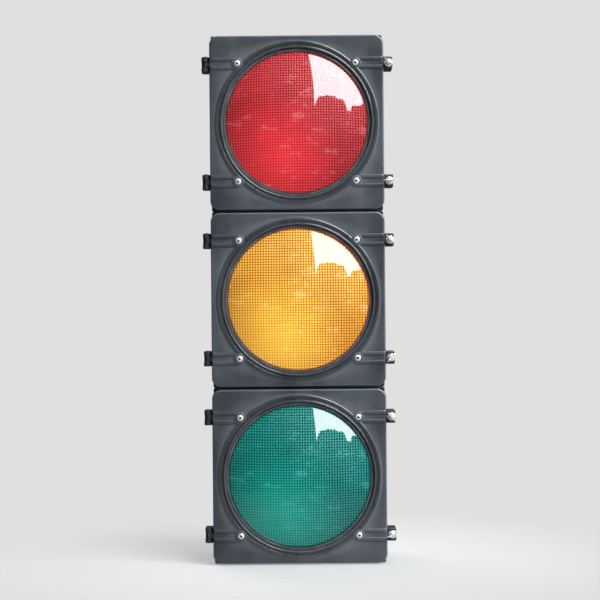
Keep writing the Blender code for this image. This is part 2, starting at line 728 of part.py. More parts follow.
def build_coupling(name, index):
    """A flanged nipple and its locknut, which clamp two housings together."""
    seam = section_base(index) - SEAM / 2
    grip = SEAM / 2 + WALL + PAD_DEPTH + GAP
    profile = [
        (NIPPLE_RADIUS, NIPPLE_TOP), (NIPPLE_RADIUS, -grip), (NIPPLE_FLANGE, -grip),
        (NIPPLE_FLANGE, -grip - NIPPLE_FLANGE_HEIGHT), (NIPPLE_BORE, -grip - NIPPLE_FLANGE_HEIGHT),
        (NIPPLE_BORE, NIPPLE_TOP),
    ]
    place = Matrix.Translation((0, 0, seam))
    smooth(turned("coupling_nipple_" + name, profile, PIPE_ROUND, "cast", place, closed=True))
    bm = bmesh.new()
    add_cylinder(bm, NUT_RADIUS, grip, grip + NUT_HEIGHT, 6)
    nut = make_object("coupling_locknut_" + name, bm, "cast", place)
    bm = bmesh.new()
    add_cylinder(bm, NUT_BORE, 0, 0.03, PIPE_ROUND, place)
    boolean(nut, make_object("locknut_bore_" + name, bm), "DIFFERENCE")


def build_plug():
    """A snap-in cap in the bottom opening, flat where the head rests."""
    flange = SEAT_DEPTH - GAP
    catch = WALL + PAD_DEPTH + GAP
    profile = [
        (0, flange + 0.002), (PLUG_RADIUS - 0.003, flange + 0.002), (PLUG_RADIUS - 0.003, PLUG_HEIGHT),
        (PLUG_RADIUS, PLUG_HEIGHT), (PLUG_LIP, catch + 0.001), (PLUG_LIP, catch), (PLUG_RADIUS, catch),
        (PLUG_RADIUS, flange), (PLUG_FLANGE, flange), (PLUG_FLANGE, 0), (0, 0),
    ]
    smooth(turned("bottom_plug", profile, PIPE_ROUND, "phenolic", Matrix.Identity(4)))


def build_terminal_block():
    """A barrier block on the rear wall of the top housing."""
    back = HOUSING_BACK + WALL + GAP
    middle = section_middle(len(SECTIONS) - 1) + BLOCK_OFFSET
    bm = bmesh.new()
    add_box(
        bm, (-BLOCK_HALF_WIDTH, back, -BLOCK_HALF_HEIGHT),
        (BLOCK_HALF_WIDTH, back + BLOCK_DEPTH, BLOCK_HALF_HEIGHT),
    )
    block = make_object("terminal_block", bm, "phenolic", Matrix.Translation((0, 0, middle)))
    bm = bmesh.new()
    way = 2 * BLOCK_HALF_WIDTH / BLOCK_WAYS
    for step in range(BLOCK_WAYS):
        left = -BLOCK_HALF_WIDTH + way * step + 0.0015
        add_box(
            bm, (left, back + BLOCK_DEPTH * 0.5, middle - 0.02),
            (left + way - 0.003, back + BLOCK_DEPTH + 0.01, middle + 0.02),
        )
    boolean(block, make_object("terminal_slots", bm), "DIFFERENCE")


clear_scene()
parts = new_collection("traffic_signal_head")
cutters = new_collection("cutters")
materials = {name: new_material(name, *values) for name, values in FINISHES.items()}
build_housings()
build_doors()
for section, lamp_colour in enumerate(SECTIONS):
    build_section(section, lamp_colour)
for seam_name, seam_index in (("lower", 1), ("upper", 2)):
    build_coupling(seam_name, seam_index)
build_plug()
build_terminal_block()
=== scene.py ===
"""Looks for the traffic signal head: fine meshes, materials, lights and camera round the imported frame."""
import math

import bmesh
import bpy
from mathutils import Matrix, Vector, noise


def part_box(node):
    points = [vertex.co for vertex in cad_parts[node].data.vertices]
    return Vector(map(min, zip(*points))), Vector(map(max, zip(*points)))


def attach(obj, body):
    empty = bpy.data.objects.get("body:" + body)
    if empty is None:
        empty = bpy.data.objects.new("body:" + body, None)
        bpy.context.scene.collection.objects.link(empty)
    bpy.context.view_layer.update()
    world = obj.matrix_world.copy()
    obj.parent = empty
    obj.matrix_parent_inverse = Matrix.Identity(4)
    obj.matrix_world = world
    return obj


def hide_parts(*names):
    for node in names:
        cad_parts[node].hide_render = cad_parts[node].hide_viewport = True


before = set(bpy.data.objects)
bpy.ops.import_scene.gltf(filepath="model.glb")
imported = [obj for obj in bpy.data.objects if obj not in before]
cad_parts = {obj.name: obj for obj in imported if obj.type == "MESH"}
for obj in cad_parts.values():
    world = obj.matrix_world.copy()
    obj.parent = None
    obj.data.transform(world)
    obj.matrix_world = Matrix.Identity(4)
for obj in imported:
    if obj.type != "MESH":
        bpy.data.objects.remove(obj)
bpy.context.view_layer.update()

LEVELS = ((-1, "lower"), (1, "upper"))
SIDES = ((-1, "left"), (1, "right"))
GAP = 0.0003

# Places that the frame gives. Forward is measured along -Y.
DOOR_LOW, DOOR_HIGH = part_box("door_amber")
HOUSING_LOW, HOUSING_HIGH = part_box("housing_amber")
LENS_LOW, LENS_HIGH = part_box("lens_amber")
GASKET_LOW, GASKET_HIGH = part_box("lens_gasket_amber")
PIN_LOW, PIN_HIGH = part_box("hinge_pin_amber_upper")
WASHER_LOW, WASHER_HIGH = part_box("latch_washer_amber_upper")
WING_TIP = -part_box("wing_screw_amber_upper")[1].y
HEAD_LOW, HEAD_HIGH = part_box("door_screw_amber_upper_right")
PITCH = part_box("housing_red")[0].z - HOUSING_LOW.z
HALF_HEIGHT = (HOUSING_HIGH.z - HOUSING_LOW.z) / 2
# The height of each section's middle, from the bottom up
SECTIONS = {
    colour: HOUSING_LOW.z + PITCH * step + HALF_HEIGHT
    for step, colour in ((-1, "green"), (0, "amber"), (1, "red"))
}

# Door and ring sizes
DOOR_HALF = (DOOR_HIGH.z - DOOR_LOW.z) / 2
DOOR_BACK = -DOOR_HIGH.y
LIP_FRONT = -DOOR_LOW.y
DOOR_FACE = LIP_FRONT - 0.005
DOOR_WALL = 0.003
DOOR_CORNER = 0.018
DOOR_EDGE = 0.0035
RING_BORE = 0.1505
RING_OUTER = 0.1650
SCREW_OFFSET = (HEAD_LOW.x + HEAD_HIGH.x) / 2
BOSS_RADIUS = 0.0106
RIB_PITCH = 0.017
RIB_WIDTH = 0.0086
RIB_HEIGHT = 0.0020
CLIP_OFFSET = 0.164                 # from the lens's middle to the screw of each gasket clip

# Hinges and latches
HINGE_X = (PIN_LOW.x + PIN_HIGH.x) / 2
HINGE_FORWARD = -(PIN_LOW.y + PIN_HIGH.y) / 2
KNUCKLE_RADIUS = 0.0080
KNUCKLE_LENGTH = 0.0096
KNUCKLE_PITCH = 0.0102
LATCH_X = (WASHER_LOW.x + WASHER_HIGH.x) / 2
LUG_OUTER = 0.1930
LUG_HALF = 0.0129
LUG_FRONT = 0.0980

# Lens
LENS_RADIUS = 0.1435
LENS_APEX = -LENS_LOW.y
LENS_SHOULDER = 0.0985
LENS_FLANGE = (LENS_HIGH.x - LENS_LOW.x) / 2
LENS_BACK = -LENS_HIGH.y
FLANGE_FRONT = LENS_BACK + 0.003
GRID_PITCH = 0.00535


# ---- meshes

def into_scene(name, data):
    item = bpy.data.objects.new(name, data)
    bpy.context.scene.collection.objects.link(item)
    return item


def link(name, mesh, body, replaced, height=0.0):
    """Put a mesh in the scene as a piece that rides on a body and can stand for a CAD node."""
    item = into_scene(name, mesh)
    item.matrix_world = Matrix.Translation((0, 0, height))
    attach(item, body)
    if replaced:
        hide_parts(replaced)


def link_in_sections(label, mesh, body, replaced):
    """A copy of a mesh in the middle of each section; names that end in _ get the section's colour."""
    for colour, middle in SECTIONS.items():
        copy = mesh.copy()
        copy.name = label + colour
        copy.transform(Matrix.Translation((0, 0, middle)))
        names = [name + colour if name.endswith("_") else name for name in (label, body, replaced)]
        link(names[0], copy, names[1], names[2])


def mesh_from(name, bm, materials, angle=30):
    bmesh.ops.recalc_face_normals(bm, faces=bm.faces)
    mesh = bpy.data.meshes.new(name)
    bm.to_mesh(mesh)
    bm.free()
    for material in materials:
        mesh.materials.append(material)
    mesh.shade_smooth()
    mesh.set_sharp_from_angle(angle=math.radians(angle))
    return mesh


def facing_front(x=0, z=0):
    return Matrix.Translation((x, 0, z)) @ Matrix.Rotation(math.pi / 2, 4, "X")


def round_point(radius, angle):
    return Vector((radius * math.cos(angle), radius * math.sin(angle)))


def filleted(points, closed=True, steps=4):
    """Round the corners of an outline of (a, b, radius) points."""
    out = []
    count = len(points)
    for i, (a, b, radius) in enumerate(points):
        here = Vector((a, b))
        if radius <= 0 or (not closed and i in (0, count - 1)):
            out.append(here)
            continue
        before = Vector(points[i - 1][:2]) - here
        after = Vector(points[(i + 1) % count][:2]) - here
        half = before.angle(after) / 2
        reach = min(radius / math.tan(half), before.length * 0.49, after.length * 0.49)
        start = here + before.normalized() * reach
        end = here + after.normalized() * reach
        for step in range(steps + 1):
            t = step / steps
            out.append((1 - t) ** 2 * start + 2 * t * (1 - t) * here + t * t * end)
    return out


def add_loops(bm, loops, closed_across=True, index=0):
    """Join equal rings of points with quads; a ring of one point closes to a fan."""
    rings = [[bm.verts.new(point) for point in loop] for loop in loops]
    pairs = list(zip(rings, rings[1:]))
    if closed_across:
        pairs.append((rings[-1], rings[0]))
    for first, second in pairs:
        count = max(len(first), len(second))
        for i in range(count):
            j = (i + 1) % count
            places = ((first, i), (first, j), (second, j), (second, i))
            corners = list(dict.fromkeys(ring[k % len(ring)] for ring, k in places))
            if len(corners) > 2:
                bm.faces.new(corners).material_index = index
    return rings


def add_capped(bm, loops, index=0):
    """Join rings of points, and close both ends with a face."""
    rings = add_loops(bm, loops, False, index)
    for ring in (rings[0], rings[-1]):
        bm.faces.new(ring).material_index = index


def add_turned(bm, profile, sides, place=Matrix.Identity(4), closed=True, index=0):
    """Turn a profile of (radius, height) about the local Z of place."""
    loops = []
    for radius, height in profile:
        angles = [2 * math.pi * i / sides for i in range(sides)] if radius > 1e-6 else [0]
        loops.append([place @ Vector((*round_point(radius, angle), height)) for angle in angles])
    add_loops(bm, loops, closed, index)


def add_lathe(bm, points, sides, place=Matrix.Identity(4), closed=False, index=0):
    """Turn an outline of (radius, height, fillet) points."""
    add_turned(bm, filleted(points, closed), sides, place, closed, index)


def add_block(bm, low, high, radius, segments=2, index=0):
    """A box between two corners, given as (x, forward, z), with rounded edges."""
    low = Vector((low[0], -low[1], low[2]))
    high = Vector((high[0], -high[1], high[2]))
    size = [abs(b - a) for a, b in zip(low, high)]
    matrix = Matrix.Translation((low + high) / 2) @ Matrix.Diagonal((*size, 1))
    before = set(bm.faces)
    verts = bmesh.ops.create_cube(bm, size=1, matrix=matrix)["verts"]
    edges = list({edge for vert in verts for edge in vert.link_edges})
    bmesh.ops.bevel(
        bm, geom=edges, offset=radius, segments=segments, profile=0.5, affect="EDGES", clamp_overlap=True,
    )
    for face in set(bm.faces) - before:
        face.material_index = index


def add_prism(bm, outline, middle, height, index):
    """An upright prism on an outline of (x, y) points, with a small chamfer at each end."""
    chamfer = 0.0006
    bottom, top = middle - height / 2, middle + height / 2
    centre = sum(outline, Vector((0, 0))) / len(outline)
    loops = []
    for z, shrink in ((bottom, chamfer), (bottom + chamfer, 0), (top - chamfer, 0), (top, chamfer)):
        loops.append([Vector((*(p - (p - centre).normalized() * shrink), z)) for p in outline])
    add_capped(bm, loops, index)


def rounded_outline(half_x, half_z, corner, count):
    """Points round a rectangle with round corners; equal indices lie on the same spot of every offset."""
    points = []
    side = count // 4
    arc = side // 2
    for quarter in range(4):
        turn = Matrix.Rotation(quarter * math.pi / 2, 2)
        near, far = (half_x, half_z) if quarter % 2 == 0 else (half_z, half_x)
        for i in range(side - arc):
            t = i / (side - arc)
            points.append(turn @ Vector((near, (far - corner) * (2 * t - 1))))
        middle = Vector((near - corner, far - corner))
        points += [turn @ (middle + round_point(corner, math.pi / 2 * i / arc)) for i in range(arc)]
    return points


def at_depth(points, forward):
    """Flat points (x, z) at one forward distance."""
    return [Vector((p.x, -forward, p.y)) for p in points]


def square_loops(half, corner, count, steps):
    """Rounded squares, one for each (inset, forward) step."""
    return [
        at_depth(rounded_outline(half - inset, half - inset, corner - inset, count), forward)
        for inset, forward in steps
    ]


def cut_by(bm, tool):
    """Take one bmesh away from another with an exact boolean, and return the rest."""
    objects = []
    for item in (bm, tool):
        mesh = bpy.data.meshes.new("cut")
        bmesh.ops.recalc_face_normals(item, faces=item.faces)
        item.to_mesh(mesh)
        item.free()
        objects.append(into_scene("cut", mesh))
    modifier = objects[0].modifiers.new("cut", "BOOLEAN")
    modifier.operation = "DIFFERENCE"
    modifier.solver = "EXACT"
    modifier.object = objects[1]
    graph = bpy.context.evaluated_depsgraph_get()
    rest = bmesh.new()
    rest.from_mesh(objects[0].evaluated_get(graph).to_mesh())
    for piece in objects:
        mesh = piece.data
        bpy.data.objects.remove(piece)
        bpy.data.meshes.remove(mesh)
    return rest


# ---- materials

class Shader:
    """A short way to write a node material."""

    def __init__(self, name):
        self.material = bpy.data.materials.new(name)
        self.material.use_nodes = True
        self.tree = self.material.node_tree
        self.surface = self.tree.nodes["Principled BSDF"]
        self.place = self.node("ShaderNodeTexCoord").outputs["Object"]

    def node(self, kind, **values):
        item = self.tree.nodes.new(kind)
        for key, value in values.items():
            setattr(item, key, value)
        return item

    def put(self, socket, value):
        if isinstance(value, bpy.types.NodeSocket):
            self.tree.links.new(value, socket)
        else:
            socket.default_value = value

    def set(self, **values):
        """Set or link the surface shader's inputs."""
        for key, value in values.items():
            self.put(self.surface.inputs[key.replace("_", " ")], value)

    def math(self, operation, a, b=0.0):
        item = self.node("ShaderNodeMath", operation=operation)
        self.put(item.inputs[0], a)
        self.put(item.inputs[1], b)
        return item.outputs[0]

    def noise(self, scale, detail=4.0, roughness=0.55, stretch=(1, 1, 1)):
        mapping = self.node("ShaderNodeMapping")
        self.put(mapping.inputs["Vector"], self.place)
        self.put(mapping.inputs["Scale"], stretch)
        item = self.node("ShaderNodeTexNoise")
        self.put(item.inputs["Vector"], mapping.outputs[0])
        self.put(item.inputs["Scale"], scale)
        self.put(item.inputs["Detail"], detail)
        self.put(item.inputs["Roughness"], roughness)
        return item.outputs["Fac"]

    def ramp(self, value, *stops):
        item = self.node("ShaderNodeValToRGB")
        self.put(item.inputs["Fac"], value)
        band = item.color_ramp
        while len(band.elements) < len(stops):
            band.elements.new(0.5)
        for element, (position, colour) in zip(band.elements, stops):
            element.position = position
            element.color = (*colour, 1)
        return item.outputs["Color"]

    def grey(self, value, low, high, start, end):
        """Map a value between start and end to one between low and high."""
        item = self.node("ShaderNodeMapRange")
        self.put(item.inputs["Value"], value)
        for name, number in (("From Min", start), ("From Max", end), ("To Min", low), ("To Max", high)):
            item.inputs[name].default_value = number
        return item.outputs["Result"]

    def mix(self, factor, a, b):
        item = self.node("ShaderNodeMix", data_type="RGBA")
        self.put(item.inputs["Factor"], factor)
        for key, value in (("A", a), ("B", b)):
            self.put(item.inputs[key], (*value, 1) if isinstance(value, tuple) else value)
        return item.outputs["Result"]

    def bump(self, height, strength, distance, normal=None):
        item = self.node("ShaderNodeBump")
        self.put(item.inputs["Height"], height)
        item.inputs["Strength"].default_value = strength
        item.inputs["Distance"].default_value = distance
        if normal:
            self.put(item.inputs["Normal"], normal)
        return item.outputs["Normal"]

    def edges(self):
        """1 on convex edges and 0 on flats."""
        geometry = self.node("ShaderNodeNewGeometry")
        return self.grey(geometry.outputs["Pointiness"], 0.0, 1.0, 0.512, 0.58)


def plastic(name, dark, light, roughness, pale_edge_colour=(0.16, 0.17, 0.18), gloss=0.25):
    """Weathered satin plastic: mottling, rain streaks, fine pebble, and pale convex edges."""
    shader = Shader(name)
    broad = shader.noise(7.0, 3.0)
    fine = shader.noise(60.0, 6.0, 0.6)
    streak = shader.noise(9.0, 5.0, 0.6, (1.6, 1.0, 0.25))
    streak_colour = tuple(c * 1.45 + 0.004 for c in light)
    speck_colour = tuple(c * 0.7 for c in dark)
    colour = shader.ramp(broad, (0.34, dark), (0.66, light))
    colour = shader.mix(shader.grey(streak, 0.0, 0.40, 0.45, 0.72), colour, streak_colour)
    colour = shader.mix(shader.grey(fine, 0.0, 0.35, 0.5, 0.8), colour, speck_colour)
    if pale_edge_colour:
        colour = shader.mix(shader.math("MULTIPLY", shader.edges(), 0.5), colour, pale_edge_colour)
    normal = shader.bump(shader.noise(900.0, 2.0), 0.10, 0.0004)
    shader.set(
        Base_Color=colour, Roughness=shader.grey(streak, roughness - 0.07, roughness + 0.10, 0.0, 1.0),
        Normal=shader.bump(broad, 0.10, 0.004, normal), Coat_Weight=gloss, Coat_Roughness=0.09,
        Specular_IOR_Level=0.45,
    )
    return shader.material


def metal(name, base, tarnish, roughness, scale=90.0, metallic=1.0):
    """Metal with dull, rougher spots and a fine grain."""
    shader = Shader(name)
    spots = shader.noise(scale, 6.0, 0.65)
    fine = shader.noise(scale * 9, 3.0)
    colour = shader.mix(shader.grey(spots, 0.0, 0.8, 0.52, 0.75), base, tarnish)
    shader.set(
        Base_Color=colour, Metallic=metallic,
        Roughness=shader.grey(spots, roughness - 0.05, roughness + 0.18, 0.3, 0.8),
        Normal=shader.bump(fine, 0.12, 0.0002),
    )
    return shader.material


def rubber(name):
    shader = Shader(name)
    dust = shader.noise(40.0, 5.0)
    colour = shader.ramp(dust, (0.35, (0.010, 0.010, 0.011)), (0.8, (0.035, 0.035, 0.036)))
    shader.set(Base_Color=colour, Roughness=0.62, Normal=shader.bump(shader.noise(500.0), 0.15, 0.0003))
    return shader.material


def lens_plastic(name, deep, pale, rim, haze):
    """Coloured lens: a smooth glossy outside over a moulded grid of small square cushions."""
    shader = Shader(name)
    split = shader.node("ShaderNodeSeparateXYZ")
    shader.put(split.inputs[0], shader.place)
    waves, squares = [], []
    for axis in ("X", "Z"):
        phase = shader.math("MULTIPLY", split.outputs[axis], math.pi / GRID_PITCH)
        waves.append(shader.math("ABSOLUTE", shader.math("SINE", phase)))
        squares.append(shader.math("POWER", split.outputs[axis], 2.0))
    cushion = shader.math("MULTIPLY", *waves)
    groove = shader.math("MINIMUM", *waves)

    # Painted light: a painted glow at the lower left, painted shade towards the right, soft clouds of random
    # tone, and cushion centres made lighter as painted highlights
    away = shader.node("ShaderNodeVectorMath", operation="DISTANCE")
    shader.put(away.inputs[0], shader.place)
    away.inputs[1].default_value = (-0.045, -0.12, -0.085)
    glow = shader.grey(away.outputs["Value"], 0.50, 0.0, 0.02, 0.14)
    painted_right_shade = shader.math("MULTIPLY", split.outputs["X"], -0.9)
    cloud = shader.math("MULTIPLY", shader.noise(11.0, 5.0, 0.65), 0.42)
    tone = shader.math("ADD", shader.math("MULTIPLY", cushion, 0.42), cloud)
    tone = shader.math("ADD", shader.math("ADD", tone, glow), painted_right_shade)
    colour = shader.ramp(tone, (0.15, deep), (1.0, pale))
    # Painted highlight: the tops of the cushions turn paler
    painted_highlight = shader.grey(cushion, 0.0, 0.30, 0.72, 1.0)
    colour = shader.mix(painted_highlight, colour, tuple(0.75 * c + 0.25 * h for c, h in zip(pale, haze)))

    # Painted shade in the grooves, which fades in the painted glow, pale smears, and the rim
    strength = shader.math("SUBTRACT", 0.86, shader.math("MULTIPLY", glow, 0.95))
    line = shader.math("MULTIPLY", shader.grey(groove, 1.0, 0.0, 0.06, 0.58), strength)
    colour = shader.mix(line, colour, tuple(c * 0.30 for c in deep))
    smear = shader.noise(24.0, 7.0, 0.72, (1.0, 1.0, 2.2))
    colour = shader.mix(shader.grey(smear, 0.0, 0.30, 0.56, 0.76), colour, haze)
    radius = shader.math("SQRT", shader.math("ADD", *squares))
    edge = shader.grey(radius, 0.0, 1.0, LENS_RADIUS - 0.0034, LENS_RADIUS - 0.0012)
    shader.set(
        Base_Color=shader.mix(edge, colour, rim), Roughness=0.30, Specular_IOR_Level=0.12,
        Normal=shader.bump(shader.math("POWER", cushion, 0.6), 0.7, 0.0012),
        Coat_Weight=1.0, Coat_Roughness=0.025, Coat_IOR=1.55,
    )
    return shader.material


def rim_plastic(name):
    """The lens's dark, glossy rim."""
    shader = Shader(name)
    colour = shader.ramp(shader.noise(30.0, 5.0), (0.3, (0.03, 0.032, 0.036)), (0.75, (0.09, 0.094, 0.10)))
    shader.set(Base_Color=colour, Roughness=0.16, Normal=shader.bump(shader.noise(200.0), 0.08, 0.0003))
    return shader.material


def lamp_glass(name):
    """Clear glass with a little haze of dust."""
    shader = Shader(name)
    dust = shader.noise(60.0, 4.0)
    shader.set(
        Base_Color=shader.ramp(dust, (0.3, (0.90, 0.92, 0.92)), (0.8, (0.98, 0.98, 0.98))),
        Roughness=shader.grey(dust, 0.0, 0.10, 0.45, 0.8), Transmission_Weight=1.0, IOR=1.30,
    )
    return shader.material


# Painted shade: the near-black colour inside a screw's recess stands in for the shade that falls there
def painted_recess_shade(name):
    shader = Shader(name)
    colour = shader.ramp(shader.noise(300.0, 3.0), (0.3, (0.012, 0.011, 0.010)), (0.8, (0.05, 0.045, 0.04)))
    shader.set(Base_Color=colour, Roughness=0.7, Metallic=0.3)
    return shader.material


DOOR_DARK, DOOR_LIGHT = (0.0095, 0.0122, 0.0155), (0.0310, 0.0355, 0.0410)
DOOR = plastic("door_plastic", DOOR_DARK, DOOR_LIGHT, 0.40, (0.30, 0.31, 0.33))
RIB = plastic("rib_plastic", DOOR_DARK, DOOR_LIGHT, 0.40, None)
RING = plastic(
    "ring_plastic", (0.0080, 0.0100, 0.0125), (0.0200, 0.0235, 0.0280), 0.26, (0.22, 0.23, 0.24), 1.0,
)
BLACK = plastic("housing_plastic", (0.009, 0.011, 0.0135), (0.022, 0.0255, 0.030), 0.42, None)
JET = plastic(
    "fitting_plastic", (0.0020, 0.0025, 0.003), (0.005, 0.006, 0.007), 0.48, (0.020, 0.020, 0.022), 0.04,
)
STEEL = metal("bright_steel", (0.74, 0.74, 0.72), (0.34, 0.31, 0.28), 0.22, 160.0, 0.70)
PIN_STEEL = metal("pin_steel", (0.30, 0.29, 0.28), (0.14, 0.11, 0.09), 0.35)
CAST = metal("cast_aluminium", (0.52, 0.53, 0.54), (0.30, 0.30, 0.30), 0.38, 25.0)
MIRROR = metal("reflector_aluminium", (0.86, 0.86, 0.87), (0.66, 0.66, 0.66), 0.12, 14.0)
RUBBER = rubber("black_rubber")
RIM = rim_plastic("lens_rim")
BRASS = metal("brass", (0.62, 0.46, 0.20), (0.34, 0.24, 0.12), 0.26)
PHENOLIC = plastic("phenolic", (0.012, 0.010, 0.009), (0.024, 0.021, 0.018), 0.34)
BULB_GLASS = lamp_glass("bulb_glass")
# Painted shade for the inside of the screw recesses
RECESS_SHADE = painted_recess_shade("screw_recess_shade")
# Deep and pale tones, rim and haze of each lens; the pale and haze tones also tint the painted highlights on
# the cushions
LENS_FINISH = {
    colour: lens_plastic("lens_" + colour, *tones) for colour, tones in (
        ("red", ((0.11, 0.004, 0.006), (0.62, 0.024, 0.031), (0.05, 0.02, 0.02), (0.72, 0.30, 0.30))),
        ("amber", ((0.29, 0.090, 0.006), (0.90, 0.445, 0.045), (0.17, 0.022, 0.014), (0.95, 0.70, 0.36))),
        ("green", ((0.000, 0.042, 0.046), (0.000, 0.225, 0.162), (0.005, 0.03, 0.027), (0.10, 0.42, 0.42))),
    )
}


# ---- door

# Places in the list of a door's materials; a housing's second is the same
JET_INDEX, RING_INDEX, RIB_INDEX = 1, 2, 3


def barrel(start, end):
    """Points round a hinge knuckle, angles in degrees."""
    steps = 20
    centre = Vector((HINGE_X, -HINGE_FORWARD))
    angles = [math.radians(start + (end - start) * step / steps) for step in range(steps + 1)]
    return [centre + round_point(KNUCKLE_RADIUS, angle) for angle in angles]


def door_knuckle():
    """A round barrel, and an arm from its front that runs into the door's side."""
    back = -(DOOR_BACK + 0.001)
    start = math.degrees(math.asin((back + HINGE_FORWARD) / KNUCKLE_RADIUS))
    side = -DOOR_HALF + DOOR_WALL / 2
    return barrel(start, -90) + [Vector((side, -HINGE_FORWARD - KNUCKLE_RADIUS)), Vector((side, back))]


def add_lug(bm, start, back, front, z):
    """A latch lug that stands out from a wall."""
    add_block(bm, (start, back, z - LUG_HALF), (LUG_OUTER, front, z + LUG_HALF), 0.0022, 4, JET_INDEX)


def add_door_pan(bm):
    """The square pan with a round opening: one closed skin."""
    count, steps = 256, 6
    hole = RING_BORE + 0.002
    spin = [math.atan2(p.y, p.x) for p in rounded_outline(DOOR_HALF, DOOR_HALF, DOOR_CORNER, count)]
    circle = [round_point(hole, angle) for angle in spin]
    loops = [at_depth(circle, DOOR_FACE - DOOR_WALL), at_depth(circle, DOOR_FACE)]
    loops.append(at_depth([p * (RING_OUTER + 0.0010) / hole for p in circle], DOOR_FACE))
    squares = [(DOOR_EDGE + 0.0012, DOOR_FACE)]
    for step in range(steps + 1):
        angle = math.pi / 2 * step / steps
        squares.append((DOOR_EDGE * (1 - math.sin(angle)), DOOR_FACE - DOOR_EDGE * (1 - math.cos(angle))))
    squares += [
        (0, DOOR_FACE - DOOR_EDGE - 0.0012), (0, DOOR_BACK + 0.0018), (0, DOOR_BACK + 0.0006),
        (0.0006, DOOR_BACK), (DOOR_WALL, DOOR_BACK), (DOOR_WALL, DOOR_FACE - DOOR_WALL),
    ]
    add_loops(bm, loops + square_loops(DOOR_HALF, DOOR_CORNER, count, squares))


def add_door_ring(bm):
    """Thin inner lip, groove and outer land, all with small rounds."""
    base, groove, land = DOOR_FACE - DOOR_WALL + 0.0004, DOOR_FACE + 0.0014, DOOR_FACE + 0.0030
    add_lathe(bm, [
        (RING_OUTER, base, 0), (RING_BORE, base, 0), (RING_BORE, LIP_FRONT, 0.0011),
        (0.1530, LIP_FRONT, 0.0012), (0.1548, groove, 0.0006), (0.1572, groove, 0.0005),
        (0.1580, land, 0.0005), (RING_OUTER - 0.0012, land, 0.0018), (RING_OUTER, DOOR_FACE - 0.0004, 0),
    ], 256, facing_front(), True, RING_INDEX)


def add_door_fittings(bm):
    """Screw bosses, ribs, clip posts, hinge knuckles and latch lugs."""
    back, top = DOOR_FACE - 0.0105, DOOR_FACE + 0.0035
    boss = [(0, back, 0), (BOSS_RADIUS, back, 0.0005), (BOSS_RADIUS, top, 0.0012), (0, top, 0)]
    for level in (-1, 1):
        z = level * SCREW_OFFSET
        for side in (-1, 1):
            add_lathe(bm, boss, 64, facing_front(side * SCREW_OFFSET, z))
            for step in (-0.5, 0.5):
                add_rib(bm, side, z + step * RIB_PITCH)
        add_prism(bm, door_knuckle(), z, KNUCKLE_LENGTH, JET_INDEX)
        add_lug(bm, DOOR_HALF - DOOR_WALL / 2, DOOR_BACK + GAP, LUG_FRONT, z)
    back, top = DOOR_FACE - 0.013, DOOR_FACE - 0.002
    post = [(0, back, 0), (0.004, back, 0.0005), (0.004, top, 0), (0, top, 0)]
    for x, z in ((CLIP_OFFSET, 0), (-CLIP_OFFSET, 0), (0, CLIP_OFFSET), (0, -CLIP_OFFSET)):
        add_lathe(bm, post, 24, facing_front(x, z))


def add_rib(bm, side, middle):
    """A low ridge with a rounded crest, from a boss out over the door's edge."""
    before = set(bm.faces)
    across = 12
    section = []
    for step in range(across + 1):
        t = -1 + 2 * step / across
        section.append((middle + RIB_WIDTH / 2 * t, RIB_HEIGHT * (1 - abs(t) ** 6)))
    rows = []
    for x, factor in ((0.121, 1), (0.168, 1), (0.1715, 0.93), (0.1732, 0.62), (0.1743, 0.0)):
        face = DOOR_FACE - edge_drop(x)
        rows.append([bm.verts.new((side * x, -(face + lift * factor), z)) for z, lift in section])
    for first, second in zip(rows, rows[1:]):
        for i in range(across):
            bm.faces.new((first[i], first[i + 1], second[i + 1], second[i]))
    bottom = -DOOR_FACE + 0.0020
    low = [[bm.verts.new((row[i].co.x, bottom, row[i].co.z)) for i in (0, -1)] for row in rows]
    for row, after, ends, ends_after in zip(rows, rows[1:], low, low[1:]):
        bm.faces.new((row[0], after[0], ends_after[0], ends[0]))
        bm.faces.new((row[-1], ends[1], ends_after[1], after[-1]))
        bm.faces.new((ends[0], ends_after[0], ends_after[1], ends[1]))
    bm.faces.new([*rows[0], low[0][1], low[0][0]])
    bm.faces.new([*reversed(rows[-1]), low[-1][0], low[-1][1]])
    for face in set(bm.faces) - before:
        face.material_index = RIB_INDEX


def edge_drop(x):
    """How far the door's rounded edge has fallen at this distance from the middle."""
    over = max(x - (DOOR_HALF - DOOR_EDGE), 0)
    return DOOR_EDGE - math.sqrt(max(DOOR_EDGE ** 2 - over ** 2, 0))


def build_doors():
    bm = bmesh.new()
    add_door_pan(bm)
    add_door_ring(bm)
    add_door_fittings(bm)
    mesh = mesh_from("door", bm, (DOOR, JET, RING, RIB), 28)
    link_in_sections("door_skin_", mesh, "door_", "door_")


# ---- lens and gasket

def lens_sphere():
    """Radius of the dome, and how far forward its centre is."""
    rise = LENS_APEX - LENS_SHOULDER
    radius = (LENS_RADIUS ** 2 + rise ** 2) / (2 * rise)
    return radius, LENS_APEX - radius


def add_cushions(bm, radius, centre):
    """A grid of square cushions in relief, on a sphere."""
    cells = int(2 * LENS_RADIUS / GRID_PITCH) + 2
    span = cells * 3
    verts = {}
    for i in range(span + 1):
        for j in range(span + 1):
            x = (i / span - 0.5) * cells * GRID_PITCH
            z = (j / span - 0.5) * cells * GRID_PITCH
            if math.hypot(x, z) < LENS_RADIUS - 0.003:
                cushion = abs(math.sin(math.pi * x / GRID_PITCH) * math.sin(math.pi * z / GRID_PITCH))
                depth = centre + math.sqrt(radius ** 2 - x * x - z * z) - 0.0007 * cushion ** 0.7
                verts[i, j] = bm.verts.new((x, -depth, z))
    for i, j in verts:
        corners = [verts.get(key) for key in ((i, j), (i + 1, j), (i + 1, j + 1), (i, j + 1))]
        if all(corners):
            bm.faces.new(corners)


